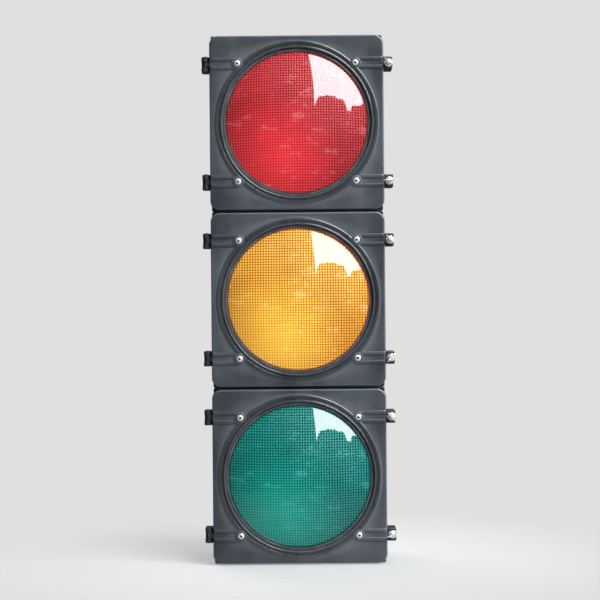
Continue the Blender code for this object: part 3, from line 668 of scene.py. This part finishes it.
def build_lenses():
    """A smooth dome with a flange, the cushions inside it, and a bead round its foot."""
    radius, centre = lens_sphere()
    steps = 28
    limit = math.acos(LENS_RADIUS / radius)
    profile = [Vector((0, LENS_APEX))]
    for step in range(1, steps + 1):
        angle = math.pi / 2 + (limit - math.pi / 2) * step / steps
        profile.append(round_point(radius, angle) + Vector((0, centre)))
    flange_edge = LENS_FLANGE - 0.0002
    profile += filleted([
        (LENS_RADIUS, LENS_SHOULDER, 0), (LENS_RADIUS + 0.0004, LENS_SHOULDER - 0.0007, 0.0004),
        (LENS_RADIUS + 0.0016, FLANGE_FRONT, 0.0004), (flange_edge, FLANGE_FRONT, 0.0004),
        (flange_edge, LENS_BACK, 0.0004), (LENS_RADIUS - 0.002, LENS_BACK, 0),
    ], closed=False)[1:]
    bm = bmesh.new()
    add_turned(bm, profile, 192, facing_front(), closed=False)
    add_cushions(bm, radius - 0.0024, centre)
    bead = [(0.1438, 0.0960, 0), (0.1438, 0.1001, 0.0007), (0.1470, 0.0993, 0.0014), (0.1476, 0.0960, 0)]
    add_lathe(bm, bead, 192, facing_front(), True, 1)
    mesh = mesh_from("lens", bm, (LENS_FINISH["red"], RIM), 40)
    for colour, middle in SECTIONS.items():
        name = "lens_" + colour
        copy = mesh.copy()
        copy.name = "lens_skin_" + colour
        copy.materials[0] = LENS_FINISH[colour]
        link(copy.name, copy, "door_" + colour, name, middle)


def build_gaskets():
    """A channel of black rubber round each lens flange."""
    low, high = -GASKET_HIGH.y, -GASKET_LOW.y
    inner, outer = 0.1470, (GASKET_HIGH.x - GASKET_LOW.x) / 2
    slot, slot_back, slot_front = 0.1542, LENS_BACK - GAP, FLANGE_FRONT + GAP
    bm = bmesh.new()
    add_lathe(bm, [
        (inner, high, 0.0008), (outer, high, 0.0008), (outer, low, 0.0008), (inner, low, 0.0008),
        (inner, slot_back, 0.0003), (slot, slot_back, 0.0002), (slot, slot_front, 0.0002),
        (inner, slot_front, 0.0003),
    ], 192, facing_front(), True)
    mesh = mesh_from("gasket", bm, (RUBBER,))
    link_in_sections("gasket_skin_", mesh, "door_", "lens_gasket_")


# ---- screws, washers, wing screws

def add_dome_head(bm, place):
    """A round head with a recessed centre."""
    seat, top = DOOR_FACE + 0.0038, -HEAD_LOW.y
    radius = (HEAD_HIGH.x - HEAD_LOW.x) / 2
    mouth = Vector((0.0027, top - 0.0002))
    steps, crown = 8, 66
    rise = (top - seat) / math.sin(math.radians(crown))
    profile = [mouth]
    for step in range(steps + 1):
        angle = math.radians(crown - (crown - 4) * step / steps)
        profile.append(Vector((radius * math.cos(angle), seat + rise * math.sin(angle))))
    profile += [Vector((radius, seat + 0.0003)), Vector((radius - 0.0004, seat)), Vector((0, seat))]
    add_turned(bm, profile, 48, place, closed=False)
    # The recess gets the second material, whose dark colour is painted shade
    add_turned(bm, [mouth, (0.0021, top - 0.0024), (0, top - 0.0028)], 48, place, closed=False, index=1)
    bmesh.ops.remove_doubles(bm, verts=bm.verts, dist=0.00002)


def build_door_screws():
    for colour, middle in SECTIONS.items():
        for level, level_name in LEVELS:
            for side, side_name in SIDES:
                label = colour + "_" + level_name + "_" + side_name
                bm = bmesh.new()
                add_dome_head(bm, facing_front(side * SCREW_OFFSET, middle + level * SCREW_OFFSET))
                mesh = mesh_from("screw_head_" + label, bm, (STEEL, RECESS_SHADE), 40)
                link("screw_head_" + label, mesh, "door_" + colour, "door_screw_" + label)


WING_TURNS = {
    "green_lower": 18, "green_upper": -50, "amber_lower": 48,
    "amber_upper": -49, "red_lower": -3, "red_upper": -41,
}


def build_latches():
    """A dished washer and a wing screw on every latch."""
    back, front = -WASHER_HIGH.y, -WASHER_LOW.y
    radius = (WASHER_HIGH.z - WASHER_LOW.z) / 2
    washer = [
        (0.0037, back, 0), (radius, back, 0.0003), (radius, front, 0.0005),
        (radius - 0.0016, front, 0.0004), (radius - 0.0028, back + 0.0006, 0.0003), (0.0037, back + 0.0006, 0),
    ]
    tip, hub = WING_TIP, back + 0.0009
    screw = [
        (0, tip, 0), (0.0021, tip, 0), (0.0031, tip + 0.001, 0), (0.0031, hub, 0), (0.0057, hub, 0.0004),
        (0.0046, hub + 0.0090, 0.0006), (0.0044, hub + 0.0110, 0.0008), (0.0030, hub + 0.0110, 0.0003),
        (0.0026, hub + 0.0123, 0.0006), (0, hub + 0.0123, 0),
    ]
    for colour, middle in SECTIONS.items():
        for level, level_name in LEVELS:
            label = colour + "_" + level_name
            place = facing_front(LATCH_X, middle + level * SCREW_OFFSET)
            bm = bmesh.new()
            add_lathe(bm, washer, 48, place, True)
            mesh = mesh_from("washer_skin_" + label, bm, (STEEL,))
            link("washer_skin_" + label, mesh, "latch_" + label, "latch_washer_" + label)
            bm = bmesh.new()
            turn = place @ Matrix.Rotation(math.radians(WING_TURNS[label]), 4, "Z")
            add_lathe(bm, screw, 40, turn)
            for side in (-1, 1):
                add_wing(bm, turn, side)
            mesh = mesh_from("wing_skin_" + label, bm, (STEEL,), 40)
            link("wing_skin_" + label, mesh, "wing_" + label, "wing_screw_" + label)


def add_wing(bm, turn, side):
    """One round wing, with chamfered edges."""
    middle_x, middle_forward, radius = 0.0070, 0.1112, 0.0055
    place = Matrix.Translation((side * middle_x, 0, middle_forward)) @ Matrix.Rotation(math.pi / 2, 4, "X")
    angles = [2 * math.pi * step / 32 for step in range(32)]
    loops = []
    for thickness, shrink in ((-0.0012, 0.0009), (-0.0007, 0), (0.0007, 0), (0.0012, 0.0009)):
        loops.append([turn @ place @ Vector((*round_point(radius - shrink, a), thickness)) for a in angles])
    add_capped(bm, loops)


# ---- housings

WALL = 0.003
HOUSING_FRONT, HOUSING_BACK = 0.080, -0.080
HALF_WIDTH = 0.173
PIPE_BORE = 0.0255
SEAT_RADIUS = 0.0400
SEAT_DEPTH = 0.0015
PAD_DEPTH = 0.004
BRACKET_DEPTH = 0.022
PAD_OFFSET = 0.135                  # up and down from a section's middle to the frame's screws


def add_shell(bm):
    """The housing's box: round rear edges and a framed, recessed rear panel."""
    count, steps = 96, 8
    corner, rear = 0.0030, 0.012
    panel = HOUSING_BACK + 0.0012
    inner = panel + WALL
    # Inset, forward distance and corner radius of each loop, first the outside and then the inside
    outside = [
        (0.0005, HOUSING_FRONT, corner), (0, HOUSING_FRONT - 0.0005, corner),
        (0, HOUSING_FRONT - 0.0030, corner), (0, HOUSING_BACK + rear + 0.0030, corner),
    ]
    for step in range(steps + 1):
        angle = math.pi / 2 * step / steps
        inset, forward = rear * (1 - math.cos(angle)), HOUSING_BACK + rear * (1 - math.sin(angle))
        outside.append((inset, forward, corner + rear * math.sin(angle) * 0.3))
    outside += [
        (0.014, HOUSING_BACK, 0.007), (0.024, HOUSING_BACK, 0.008),
        (0.0260, panel, 0.008), (0.0275, panel + 0.0002, 0.008),
    ]
    inside = [
        (0.0275, inner, 0.008), (WALL + 0.007, inner, 0.006), (WALL + 0.002, inner + 0.0020, 0.005),
        (WALL, inner + 0.007, 0.003), (WALL, HOUSING_FRONT, 0.002),
    ]
    loops = [
        at_depth(rounded_outline(HALF_WIDTH - inset, HALF_HEIGHT - inset, radius, count), forward)
        for inset, forward, radius in outside + inside
    ]
    # Start from the inside, so that the first and last loops are the edges of the two panels
    first = len(outside)
    rings = add_loops(bm, loops[first:] + loops[:first], False)
    bm.faces.new(rings[0])
    bm.faces.new(rings[-1])


def build_housings():
    """A box with pipe seats, screw pads, side ribs, hinge brackets and latch lugs."""
    bm = bmesh.new()
    add_shell(bm)
    tool = bmesh.new()
    hole = (
        (0, -0.02), (SEAT_RADIUS, -0.02), (SEAT_RADIUS, SEAT_DEPTH),
        (PIPE_BORE, SEAT_DEPTH), (PIPE_BORE, 0.02), (0, 0.02),
    )
    for end in (-1, 1):
        profile = [(radius, end * (HALF_HEIGHT - depth)) for radius, depth in hole]
        add_turned(tool, profile, 96, closed=False)
    bm = cut_by(bm, tool)
    outer, inner = HALF_HEIGHT - WALL / 2 - 0.0008, HALF_HEIGHT - WALL - PAD_DEPTH
    for start, end, fillet, bore_fillet in ((-outer, -inner, 0.001, 0.0005), (inner, outer, 0, 0)):
        add_lathe(bm, [
            (PIPE_BORE, start, 0), (0.0405, start, 0), (0.0405, end, fillet), (PIPE_BORE, end, bore_fillet),
        ], 96, closed=True)
    for side in (-1, 1):
        for z in (-PAD_OFFSET, PAD_OFFSET):
            add_block(bm, (side * 0.148, 0.0517, z - 0.010), (side * 0.1715, 0.0717, z + 0.010), 0.0015)
        for z in (-0.060, 0, 0.060):
            add_block(bm, (side * 0.1715, -0.058, z - 0.008), (side * 0.1742, 0.048, z + 0.008), 0.0012, 4)
    arm = barrel(180, 360) + [Vector((HINGE_X + side * KNUCKLE_RADIUS, -0.076)) for side in (1, -1)]
    back, front = HOUSING_FRONT - BRACKET_DEPTH, HOUSING_FRONT - GAP
    root = HALF_WIDTH - 0.0012
    reach = KNUCKLE_PITCH + KNUCKLE_LENGTH / 2
    for level in (-1, 1):
        z = level * SCREW_OFFSET
        bracket = (HINGE_X - KNUCKLE_RADIUS, back, z - reach), (-root, front, z + reach)
        add_block(bm, *bracket, 0.0018, 3, JET_INDEX)
        add_lug(bm, root, back, front, z)
        for step in (-1, 1):
            add_prism(bm, arm, z + step * KNUCKLE_PITCH, KNUCKLE_LENGTH, JET_INDEX)
    mesh = mesh_from("housing", bm, (BLACK, JET), 32)
    link_in_sections("housing_skin_", mesh, "root", "housing_")


def build_serrations():
    """The ring of fine teeth in the top opening's seat."""
    count = 72 * 4
    floor = SECTIONS["red"] + HALF_HEIGHT - SEAT_DEPTH + 0.0001
    low, high = 0.0004, 0.0011
    profile = ((0.0275, 0), (0.0275, low), (0.0285, high), (0.0370, high), (0.0380, low), (0.0380, 0))
    bm = bmesh.new()
    loops = []
    for radius, lift in profile:
        ring = []
        for i in range(count):
            tooth = 0.35 if lift == high and i % 4 in (0, 3) else 1
            ring.append(Vector((*round_point(radius, 2 * math.pi * i / count), floor + lift * tooth)))
        loops.append(ring)
    add_loops(bm, loops)
    mesh = mesh_from("serrated_ring", bm, (BLACK,), 20)
    link("serrated_ring", mesh, "root", "")


# ---- reflector, lampholder and lamp

FRAME_FRONT = 0.0750
FRAME_THICKNESS = 0.003
FRAME_HALF_X, FRAME_HALF_Z, FRAME_CORNER = 0.1655, 0.1690, 0.012
FRAME_EDGE = 0.0005
FRAME_SCREW_X = 0.1565
REFLECTOR_RADIUS = 0.1385
REFLECTOR_RIM = 0.1475
REFLECTOR_FRONT = 0.0763
SHEET = 0.001
FOCAL_LENGTH = 0.0441
NECK_RADIUS = 0.0235
BULB_CENTRE = 0.024
BULB_RADIUS = 0.033


def bowl_depth(radius):
    return REFLECTOR_FRONT + (radius ** 2 - REFLECTOR_RADIUS ** 2) / (4 * FOCAL_LENGTH)


def build_reflectors():
    """A spun bowl with a rolled flat rim, in a stamped square frame with four screws."""
    steps = 26
    radii = [NECK_RADIUS + (REFLECTOR_RADIUS - NECK_RADIUS) * i / steps for i in range(steps + 1)]
    inner = [Vector((r, bowl_depth(r))) for r in radii]
    outer = [Vector((r + SHEET * 0.6, bowl_depth(r) - SHEET)) for r in reversed(radii[:-1])]
    back = REFLECTOR_FRONT - SHEET
    rim = filleted([
        (REFLECTOR_RADIUS, REFLECTOR_FRONT, 0), (REFLECTOR_RIM, REFLECTOR_FRONT, 0.0004),
        (REFLECTOR_RIM, back, 0.0004), (REFLECTOR_RADIUS + SHEET, back, 0),
    ], closed=False)
    bm = bmesh.new()
    add_turned(bm, inner + rim[1:] + outer, 160, facing_front())
    bowl = mesh_from("reflector", bm, (MIRROR,), 40)

    count = 256
    outline, shrunk = (
        rounded_outline(FRAME_HALF_X - inset, FRAME_HALF_Z - inset, FRAME_CORNER - inset, count)
        for inset in (0, FRAME_EDGE)
    )
    spin = [math.atan2(p.y, p.x) for p in outline]
    back, bead = FRAME_FRONT - FRAME_THICKNESS, FRAME_FRONT + 0.0010
    circles = (
        (0.1415, back), (0.1415, FRAME_FRONT - 0.0006), (0.1421, FRAME_FRONT), (0.1488, FRAME_FRONT),
        (0.1494, bead), (0.1512, bead), (0.1520, FRAME_FRONT),
    )
    bm = bmesh.new()
    loops = [at_depth([round_point(radius, a) for a in spin], forward) for radius, forward in circles]
    loops.append(at_depth(shrunk, FRAME_FRONT))
    loops += [at_depth(outline, forward) for forward in (FRAME_FRONT - FRAME_EDGE, back)]
    add_loops(bm, loops)
    surround = mesh_from("reflector_frame", bm, (CAST,), 35)

    bm = bmesh.new()
    screw = [
        (0, FRAME_FRONT, 0), (0.0040, FRAME_FRONT, 0), (0.0040, FRAME_FRONT + 0.0012, 0.0008),
        (0.0012, FRAME_FRONT + 0.0022, 0.0006), (0.0012, bead, 0), (0, bead, 0),
    ]
    for side in (-1, 1):
        for z in (-PAD_OFFSET, PAD_OFFSET):
            add_lathe(bm, screw, 24, facing_front(side * FRAME_SCREW_X, z))
    screws = mesh_from("frame_screws", bm, (STEEL,), 40)
    link_in_sections("bowl_", bowl, "root", "reflector_")
    link_in_sections("bowl_frame_", surround, "root", "reflector_frame_")
    link_in_sections("frame_screws_", screws, "root", "")


def add_wire(bm, start, end):
    """A straight wire between two points."""
    along = end - start
    turn = along.to_track_quat("Z", "Y").to_matrix().to_4x4()
    bmesh.ops.create_cone(
        bm, cap_ends=True, segments=10, radius1=0.0004, radius2=0.0004, depth=along.length,
        matrix=Matrix.Translation((start + end) / 2) @ turn,
    )


def add_filament(bm):
    """A fine coil between the tips of the two wires."""
    turns, steps, radius = 15, 120, 0.0007
    loops = []
    for step in range(steps + 1):
        t = step / steps
        angle = 2 * math.pi * turns * t
        point = Vector((0.0200 * t - 0.0100, -0.026 - radius * math.sin(angle), radius * math.cos(angle)))
        loops.append([point + Vector((0, *round_point(0.00018, a))) for a in (0, 2.1, 4.2)])
    add_capped(bm, loops)


def build_lamps():
    """A moulded socket, and a clear bulb with a brass base, a glass stem and a filament."""
    seat = bowl_depth(NECK_RADIUS) - SHEET - GAP
    bm = bmesh.new()
    add_lathe(bm, [
        (0, -0.0555, 0), (0.0142, -0.0555, 0), (0.0142, -0.0262, 0.0006), (0.0205, -0.0262, 0.0010),
        (0.0205, seat, 0.0004), (0.0310, seat, 0.0008), (0.0310, seat - 0.004, 0.0008),
        (0.0205, seat - 0.004, 0.0006), (0.0205, -0.050, 0.001), (0.0190, -0.052, 0.001),
        (0.0190, -0.066, 0.0015), (0, -0.066, 0),
    ], 96, facing_front())
    holder = mesh_from("lampholder", bm, (PHENOLIC,), 40)

    steps = 28
    bulb = [Vector((0, BULB_CENTRE + BULB_RADIUS))]
    for step in range(1, steps + 1):
        angle = math.radians(90 - 138 * step / steps)
        bulb.append(round_point(BULB_RADIUS, angle) + Vector((0, BULB_CENTRE)))
    neck = bulb[-1]
    bulb += [(neck.x * 0.80, neck.y - 0.0075), (0.0136, -0.0150), (0.0126, -0.0240), (0, -0.0240)]
    bm = bmesh.new()
    add_turned(bm, bulb, 96, facing_front(), closed=False)
    glass = mesh_from("bulb", bm, (BULB_GLASS,), 40)

    bm = bmesh.new()
    base = [
        (0, -0.0200, 0), (0.0128, -0.0200, 0), (0.0132, -0.0245, 0.0005), (0.0132, -0.0480, 0.0008),
        (0.0080, -0.0520, 0.0008), (0.0040, -0.0540, 0.0006), (0, -0.0543, 0),
    ]
    stem = [
        (0, 0.012, 0), (0.0035, 0.010, 0.001), (0.0045, -0.012, 0.002),
        (0.0090, -0.0205, 0), (0, -0.0205, 0),
    ]
    add_lathe(bm, base, 64, facing_front())
    add_lathe(bm, stem, 24, facing_front(), index=1)
    for side in (-1, 1):
        add_wire(bm, Vector((side * 0.0025, -0.010, 0)), Vector((side * 0.0100, -0.026, 0)))
    add_filament(bm)
    metalwork = mesh_from("lamp_metalwork", bm, (BRASS, BULB_GLASS), 40)
    link_in_sections("holder_skin_", holder, "root", "lampholder_")
    link_in_sections("bulb_glass_", glass, "root", "lamp_")
    link_in_sections("lamp_base_", metalwork, "root", "")


def build_terminals():
    """A barrier block with a screw at each end of every way."""
    low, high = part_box("terminal_block")
    back, front = -high.y, -low.y
    ways = 6
    way = (high.x - low.x) / ways
    rib = 0.0010
    head = [
        (0, back + 0.0080, 0), (0.0036, back + 0.0080, 0), (0.0036, back + 0.0100, 0.0006),
        (0, back + 0.0104, 0),
    ]
    bm = bmesh.new()
    add_block(bm, (low.x, back, low.z), (high.x, back + 0.0075, high.z), 0.0010)
    for step in range(ways + 1):
        x = min(max(low.x + way * step, low.x + rib), high.x - rib)
        add_block(bm, (x - rib, back + 0.004, low.z), (x + rib, front, high.z), 0.0006)
    for step in range(ways):
        x = low.x + way * (step + 0.5)
        for z in (low.z + 0.007, high.z - 0.007):
            plate = (x - 0.0065, back + 0.0070, z - 0.0048), (x + 0.0065, back + 0.0084, z + 0.0048)
            add_block(bm, *plate, 0.0004, index=1)
            add_lathe(bm, head, 24, facing_front(x, z), index=1)
    mesh = mesh_from("terminal_skin", bm, (PHENOLIC, BRASS), 35)
    link("terminal_skin", mesh, "root", "terminal_block")


# ---- inside the doors

def build_door_inside():
    """Steel clips that hold each lens gasket, with their screws, and a rubber seal round the door's rim."""
    bm = bmesh.new()
    half, thick = 0.0065, 0.0004
    section = ((-half, -thick), (half, -thick), (half, thick), (-half, thick))
    route = ((0.1688, 0.0882), (0.1604, 0.0882), (0.1582, 0.0898), (0.1492, 0.0898))
    head = [
        (0, 0.0880, 0), (0.0036, 0.0880, 0), (0.0036, 0.0868, 0.0006), (0.0010, 0.0858, 0.0006),
        (0.0008, 0.0868, 0), (0, 0.0868, 0),
    ]
    for quarter in range(4):
        turn = Matrix.Rotation(quarter * math.pi / 2, 4, "Y")
        add_capped(bm, [
            [turn @ Vector((radius, -(forward + lift), z)) for z, lift in section]
            for radius, forward in route
        ])
        add_lathe(bm, head, 24, turn @ facing_front(CLIP_OFFSET, 0))
    clips = mesh_from("lens_clips", bm, (STEEL,), 35)
    bm = bmesh.new()
    add_loops(bm, square_loops(0.17175, 0.0148, 192, (
        (0, 0.0806), (0, 0.0850), (0.0010, 0.0856), (0.0037, 0.0856),
        (0.00475, 0.0850), (0.00475, 0.0810), (0.0040, 0.0804), (0.0008, 0.0804),
    )))
    seal = mesh_from("door_seal", bm, (RUBBER,), 35)
    link_in_sections("lens_clips_", clips, "door_", "")
    link_in_sections("door_seal_", seal, "door_", "")


# ---- carried-over CAD pieces

def dress(name, material):
    """Give a CAD piece its material."""
    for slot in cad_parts[name].material_slots:
        slot.material = material


def dress_cad():
    """The pieces whose CAD shape is kept."""
    for _, name in LEVELS:
        for colour in SECTIONS:
            dress("hinge_pin_" + colour + "_" + name, PIN_STEEL)
        dress("coupling_nipple_" + name, CAST)
        dress("coupling_locknut_" + name, CAST)
    dress("bottom_plug", PHENOLIC)


# ---- stage

PHOTO_WIDTH = 1.2112                # metres across the picture at the seams between the doors
SEAM_FORWARD = 0.085
CAMERA_DISTANCE = 3.2               # from the origin's plane
CAMERA_SIDE, CAMERA_HEIGHT = 0.0034, 0.5317
CAMERA_ROLL = 0.50                  # in degrees
SENSOR_WIDTH = 36
BACKGROUND = 0.745
MIDDLE_HEIGHT = 0.53
FLOOR_RADIUS = 0.75


def build_floor():
    """A small pale floor whose edge fades out."""
    shader = Shader("pale_floor")
    far = shader.node("ShaderNodeVectorMath", operation="LENGTH")
    shader.put(far.inputs[0], shader.place)
    fade = shader.grey(far.outputs["Value"], 0.6, 0.0, 0.15, FLOOR_RADIUS * 0.95)
    shader.set(Base_Color=(0.34, 0.34, 0.34, 1), Roughness=0.9, Alpha=fade, Specular_IOR_Level=0.1)
    bm = bmesh.new()
    bmesh.ops.create_circle(bm, cap_ends=True, segments=96, radius=FLOOR_RADIUS)
    floor = into_scene("floor", mesh_from("floor", bm, (shader.material,)))
    floor.location.z = -0.0005


def area_light(name, place, width, height, power, mirrored=True):
    """A light that faces the signal head; one that isn't mirrored gives only diffuse light."""
    data = bpy.data.lights.new(name, "AREA")
    data.shape = "RECTANGLE"
    data.size = width
    data.size_y = height
    data.energy = power
    item = into_scene(name, data)
    item.location = place
    along = Vector((0, -0.1, MIDDLE_HEIGHT)) - Vector(place)
    item.rotation_euler = along.to_track_quat("-Z", "Y").to_euler()
    item.visible_camera = False
    item.visible_glossy = mirrored


# The tree line that stands before the sky: azimuth, half width and height of each crown, in degrees
CROWNS = ((26, 11.5, 29.5), (35, 8, 27), (54, 7.5, 21.5), (62, 6, 23))
SKY_FOOT = 17.5
SKY_DISTANCE = 6.0
SKY_STRENGTH = 17.0
SKY_TOP = 74.0
SKY_START, SKY_END = 14.8, 74
SKY_LEAN = 6.5                      # how far the near side leans over, in degrees


def tree_line(azimuth):
    """Elevation of the ragged lower edge of the sky panel, in degrees."""
    height = SKY_FOOT
    for centre, half, top in CROWNS:
        across = (azimuth - centre) / half
        if abs(across) < 1:
            height = max(height, SKY_FOOT + (top - SKY_FOOT) * (1 - across ** 4) ** 0.5)
    return height + 1.1 * noise.fractal(Vector((azimuth * 0.9, 1.7, 0.3)), 0.8, 2.2, 5)


def build_sky():
    """A tall bright panel at the upper right, whose lower edge is ragged like a line of trees."""
    columns = 160
    bm = bmesh.new()
    rows = []
    for step in range(columns + 1):
        azimuth = SKY_START + (SKY_END - SKY_START) * step / columns
        row = []
        for elevation in (tree_line(azimuth), SKY_TOP):
            lean = SKY_LEAN * (1 - step / columns) * (elevation - SKY_FOOT) / (SKY_TOP - SKY_FOOT)
            a, e = math.radians(azimuth + lean), math.radians(elevation)
            direction = Vector((math.sin(a) * math.cos(e), -math.cos(a) * math.cos(e), math.sin(e)))
            row.append(bm.verts.new(direction * SKY_DISTANCE + Vector((0, 0, MIDDLE_HEIGHT))))
        rows.append(row)
    for first, second in zip(rows, rows[1:]):
        bm.faces.new((first[0], second[0], second[1], first[1]))
    material = bpy.data.materials.new("sky_glow")
    material.use_nodes = True
    tree = material.node_tree
    tree.nodes.clear()
    glow = tree.nodes.new("ShaderNodeEmission")
    glow.inputs["Color"].default_value = (0.93, 0.97, 1.0, 1)
    glow.inputs["Strength"].default_value = SKY_STRENGTH
    out = tree.nodes.new("ShaderNodeOutputMaterial")
    tree.links.new(glow.outputs[0], out.inputs[0])
    panel = into_scene("sky_panel", mesh_from("sky_panel", bm, (material,)))
    panel.visible_camera = False


def build_world():
    """A soft cool fill that is dimmer in reflections, behind a plain grey background."""
    world = bpy.data.worlds.new("studio")
    bpy.context.scene.world = world
    world.use_nodes = True
    tree = world.node_tree
    tree.nodes.clear()
    shades = []
    for colour, strength in (
        ((BACKGROUND, BACKGROUND, BACKGROUND, 1), 1.0),
        ((0.80, 0.86, 0.92, 1), 0.45), ((0.70, 0.80, 0.92, 1), 0.16),
    ):
        shade = tree.nodes.new("ShaderNodeBackground")
        shade.inputs["Color"].default_value = colour
        shade.inputs["Strength"].default_value = strength
        shades.append(shade.outputs[0])
    shown, fill, dim = shades
    path = tree.nodes.new("ShaderNodeLightPath")
    mixed = fill
    for ray, shade in (("Is Glossy Ray", dim), ("Is Camera Ray", shown)):
        mix = tree.nodes.new("ShaderNodeMixShader")
        for socket, source in zip(mix.inputs, (path.outputs[ray], mixed, shade)):
            tree.links.new(source, socket)
        mixed = mix.outputs[0]
    out = tree.nodes.new("ShaderNodeOutputWorld")
    tree.links.new(mixed, out.inputs[0])


def build_lights():
    area_light("side_strip", (3.2, 0.6, 0.6), 0.8, 3.0, 60)
    area_light("top_fill", (-0.5, 1.0, 4.0), 3.0, 3.0, 60)
    area_light("rear_fill", (-2.5, 4.0, 2.0), 3.0, 3.0, 330, mirrored=False)
    area_light("bounce", (1.7, -2.6, -0.1), 2.4, 1.6, 115, mirrored=False)
    build_sky()


def build_camera():
    data = bpy.data.cameras.new("camera")
    camera = into_scene("camera", data)
    bpy.context.scene.camera = camera
    data.sensor_width = SENSOR_WIDTH
    data.lens = SENSOR_WIDTH * (CAMERA_DISTANCE - SEAM_FORWARD) / PHOTO_WIDTH
    data.clip_end = 100
    camera.location = (CAMERA_SIDE, -CAMERA_DISTANCE, CAMERA_HEIGHT)
    turn = Matrix.Rotation(math.radians(CAMERA_ROLL), 4, "Y") @ Matrix.Rotation(math.pi / 2, 4, "X")
    camera.rotation_euler = turn.to_euler()


build_doors()
build_lenses()
build_gaskets()
build_door_screws()
build_latches()
build_housings()
build_serrations()
build_reflectors()
build_lamps()
build_terminals()
build_door_inside()
dress_cad()
build_floor()
build_world()
build_lights()
build_camera()
bpy.context.scene.view_settings.view_transform = "Standard"
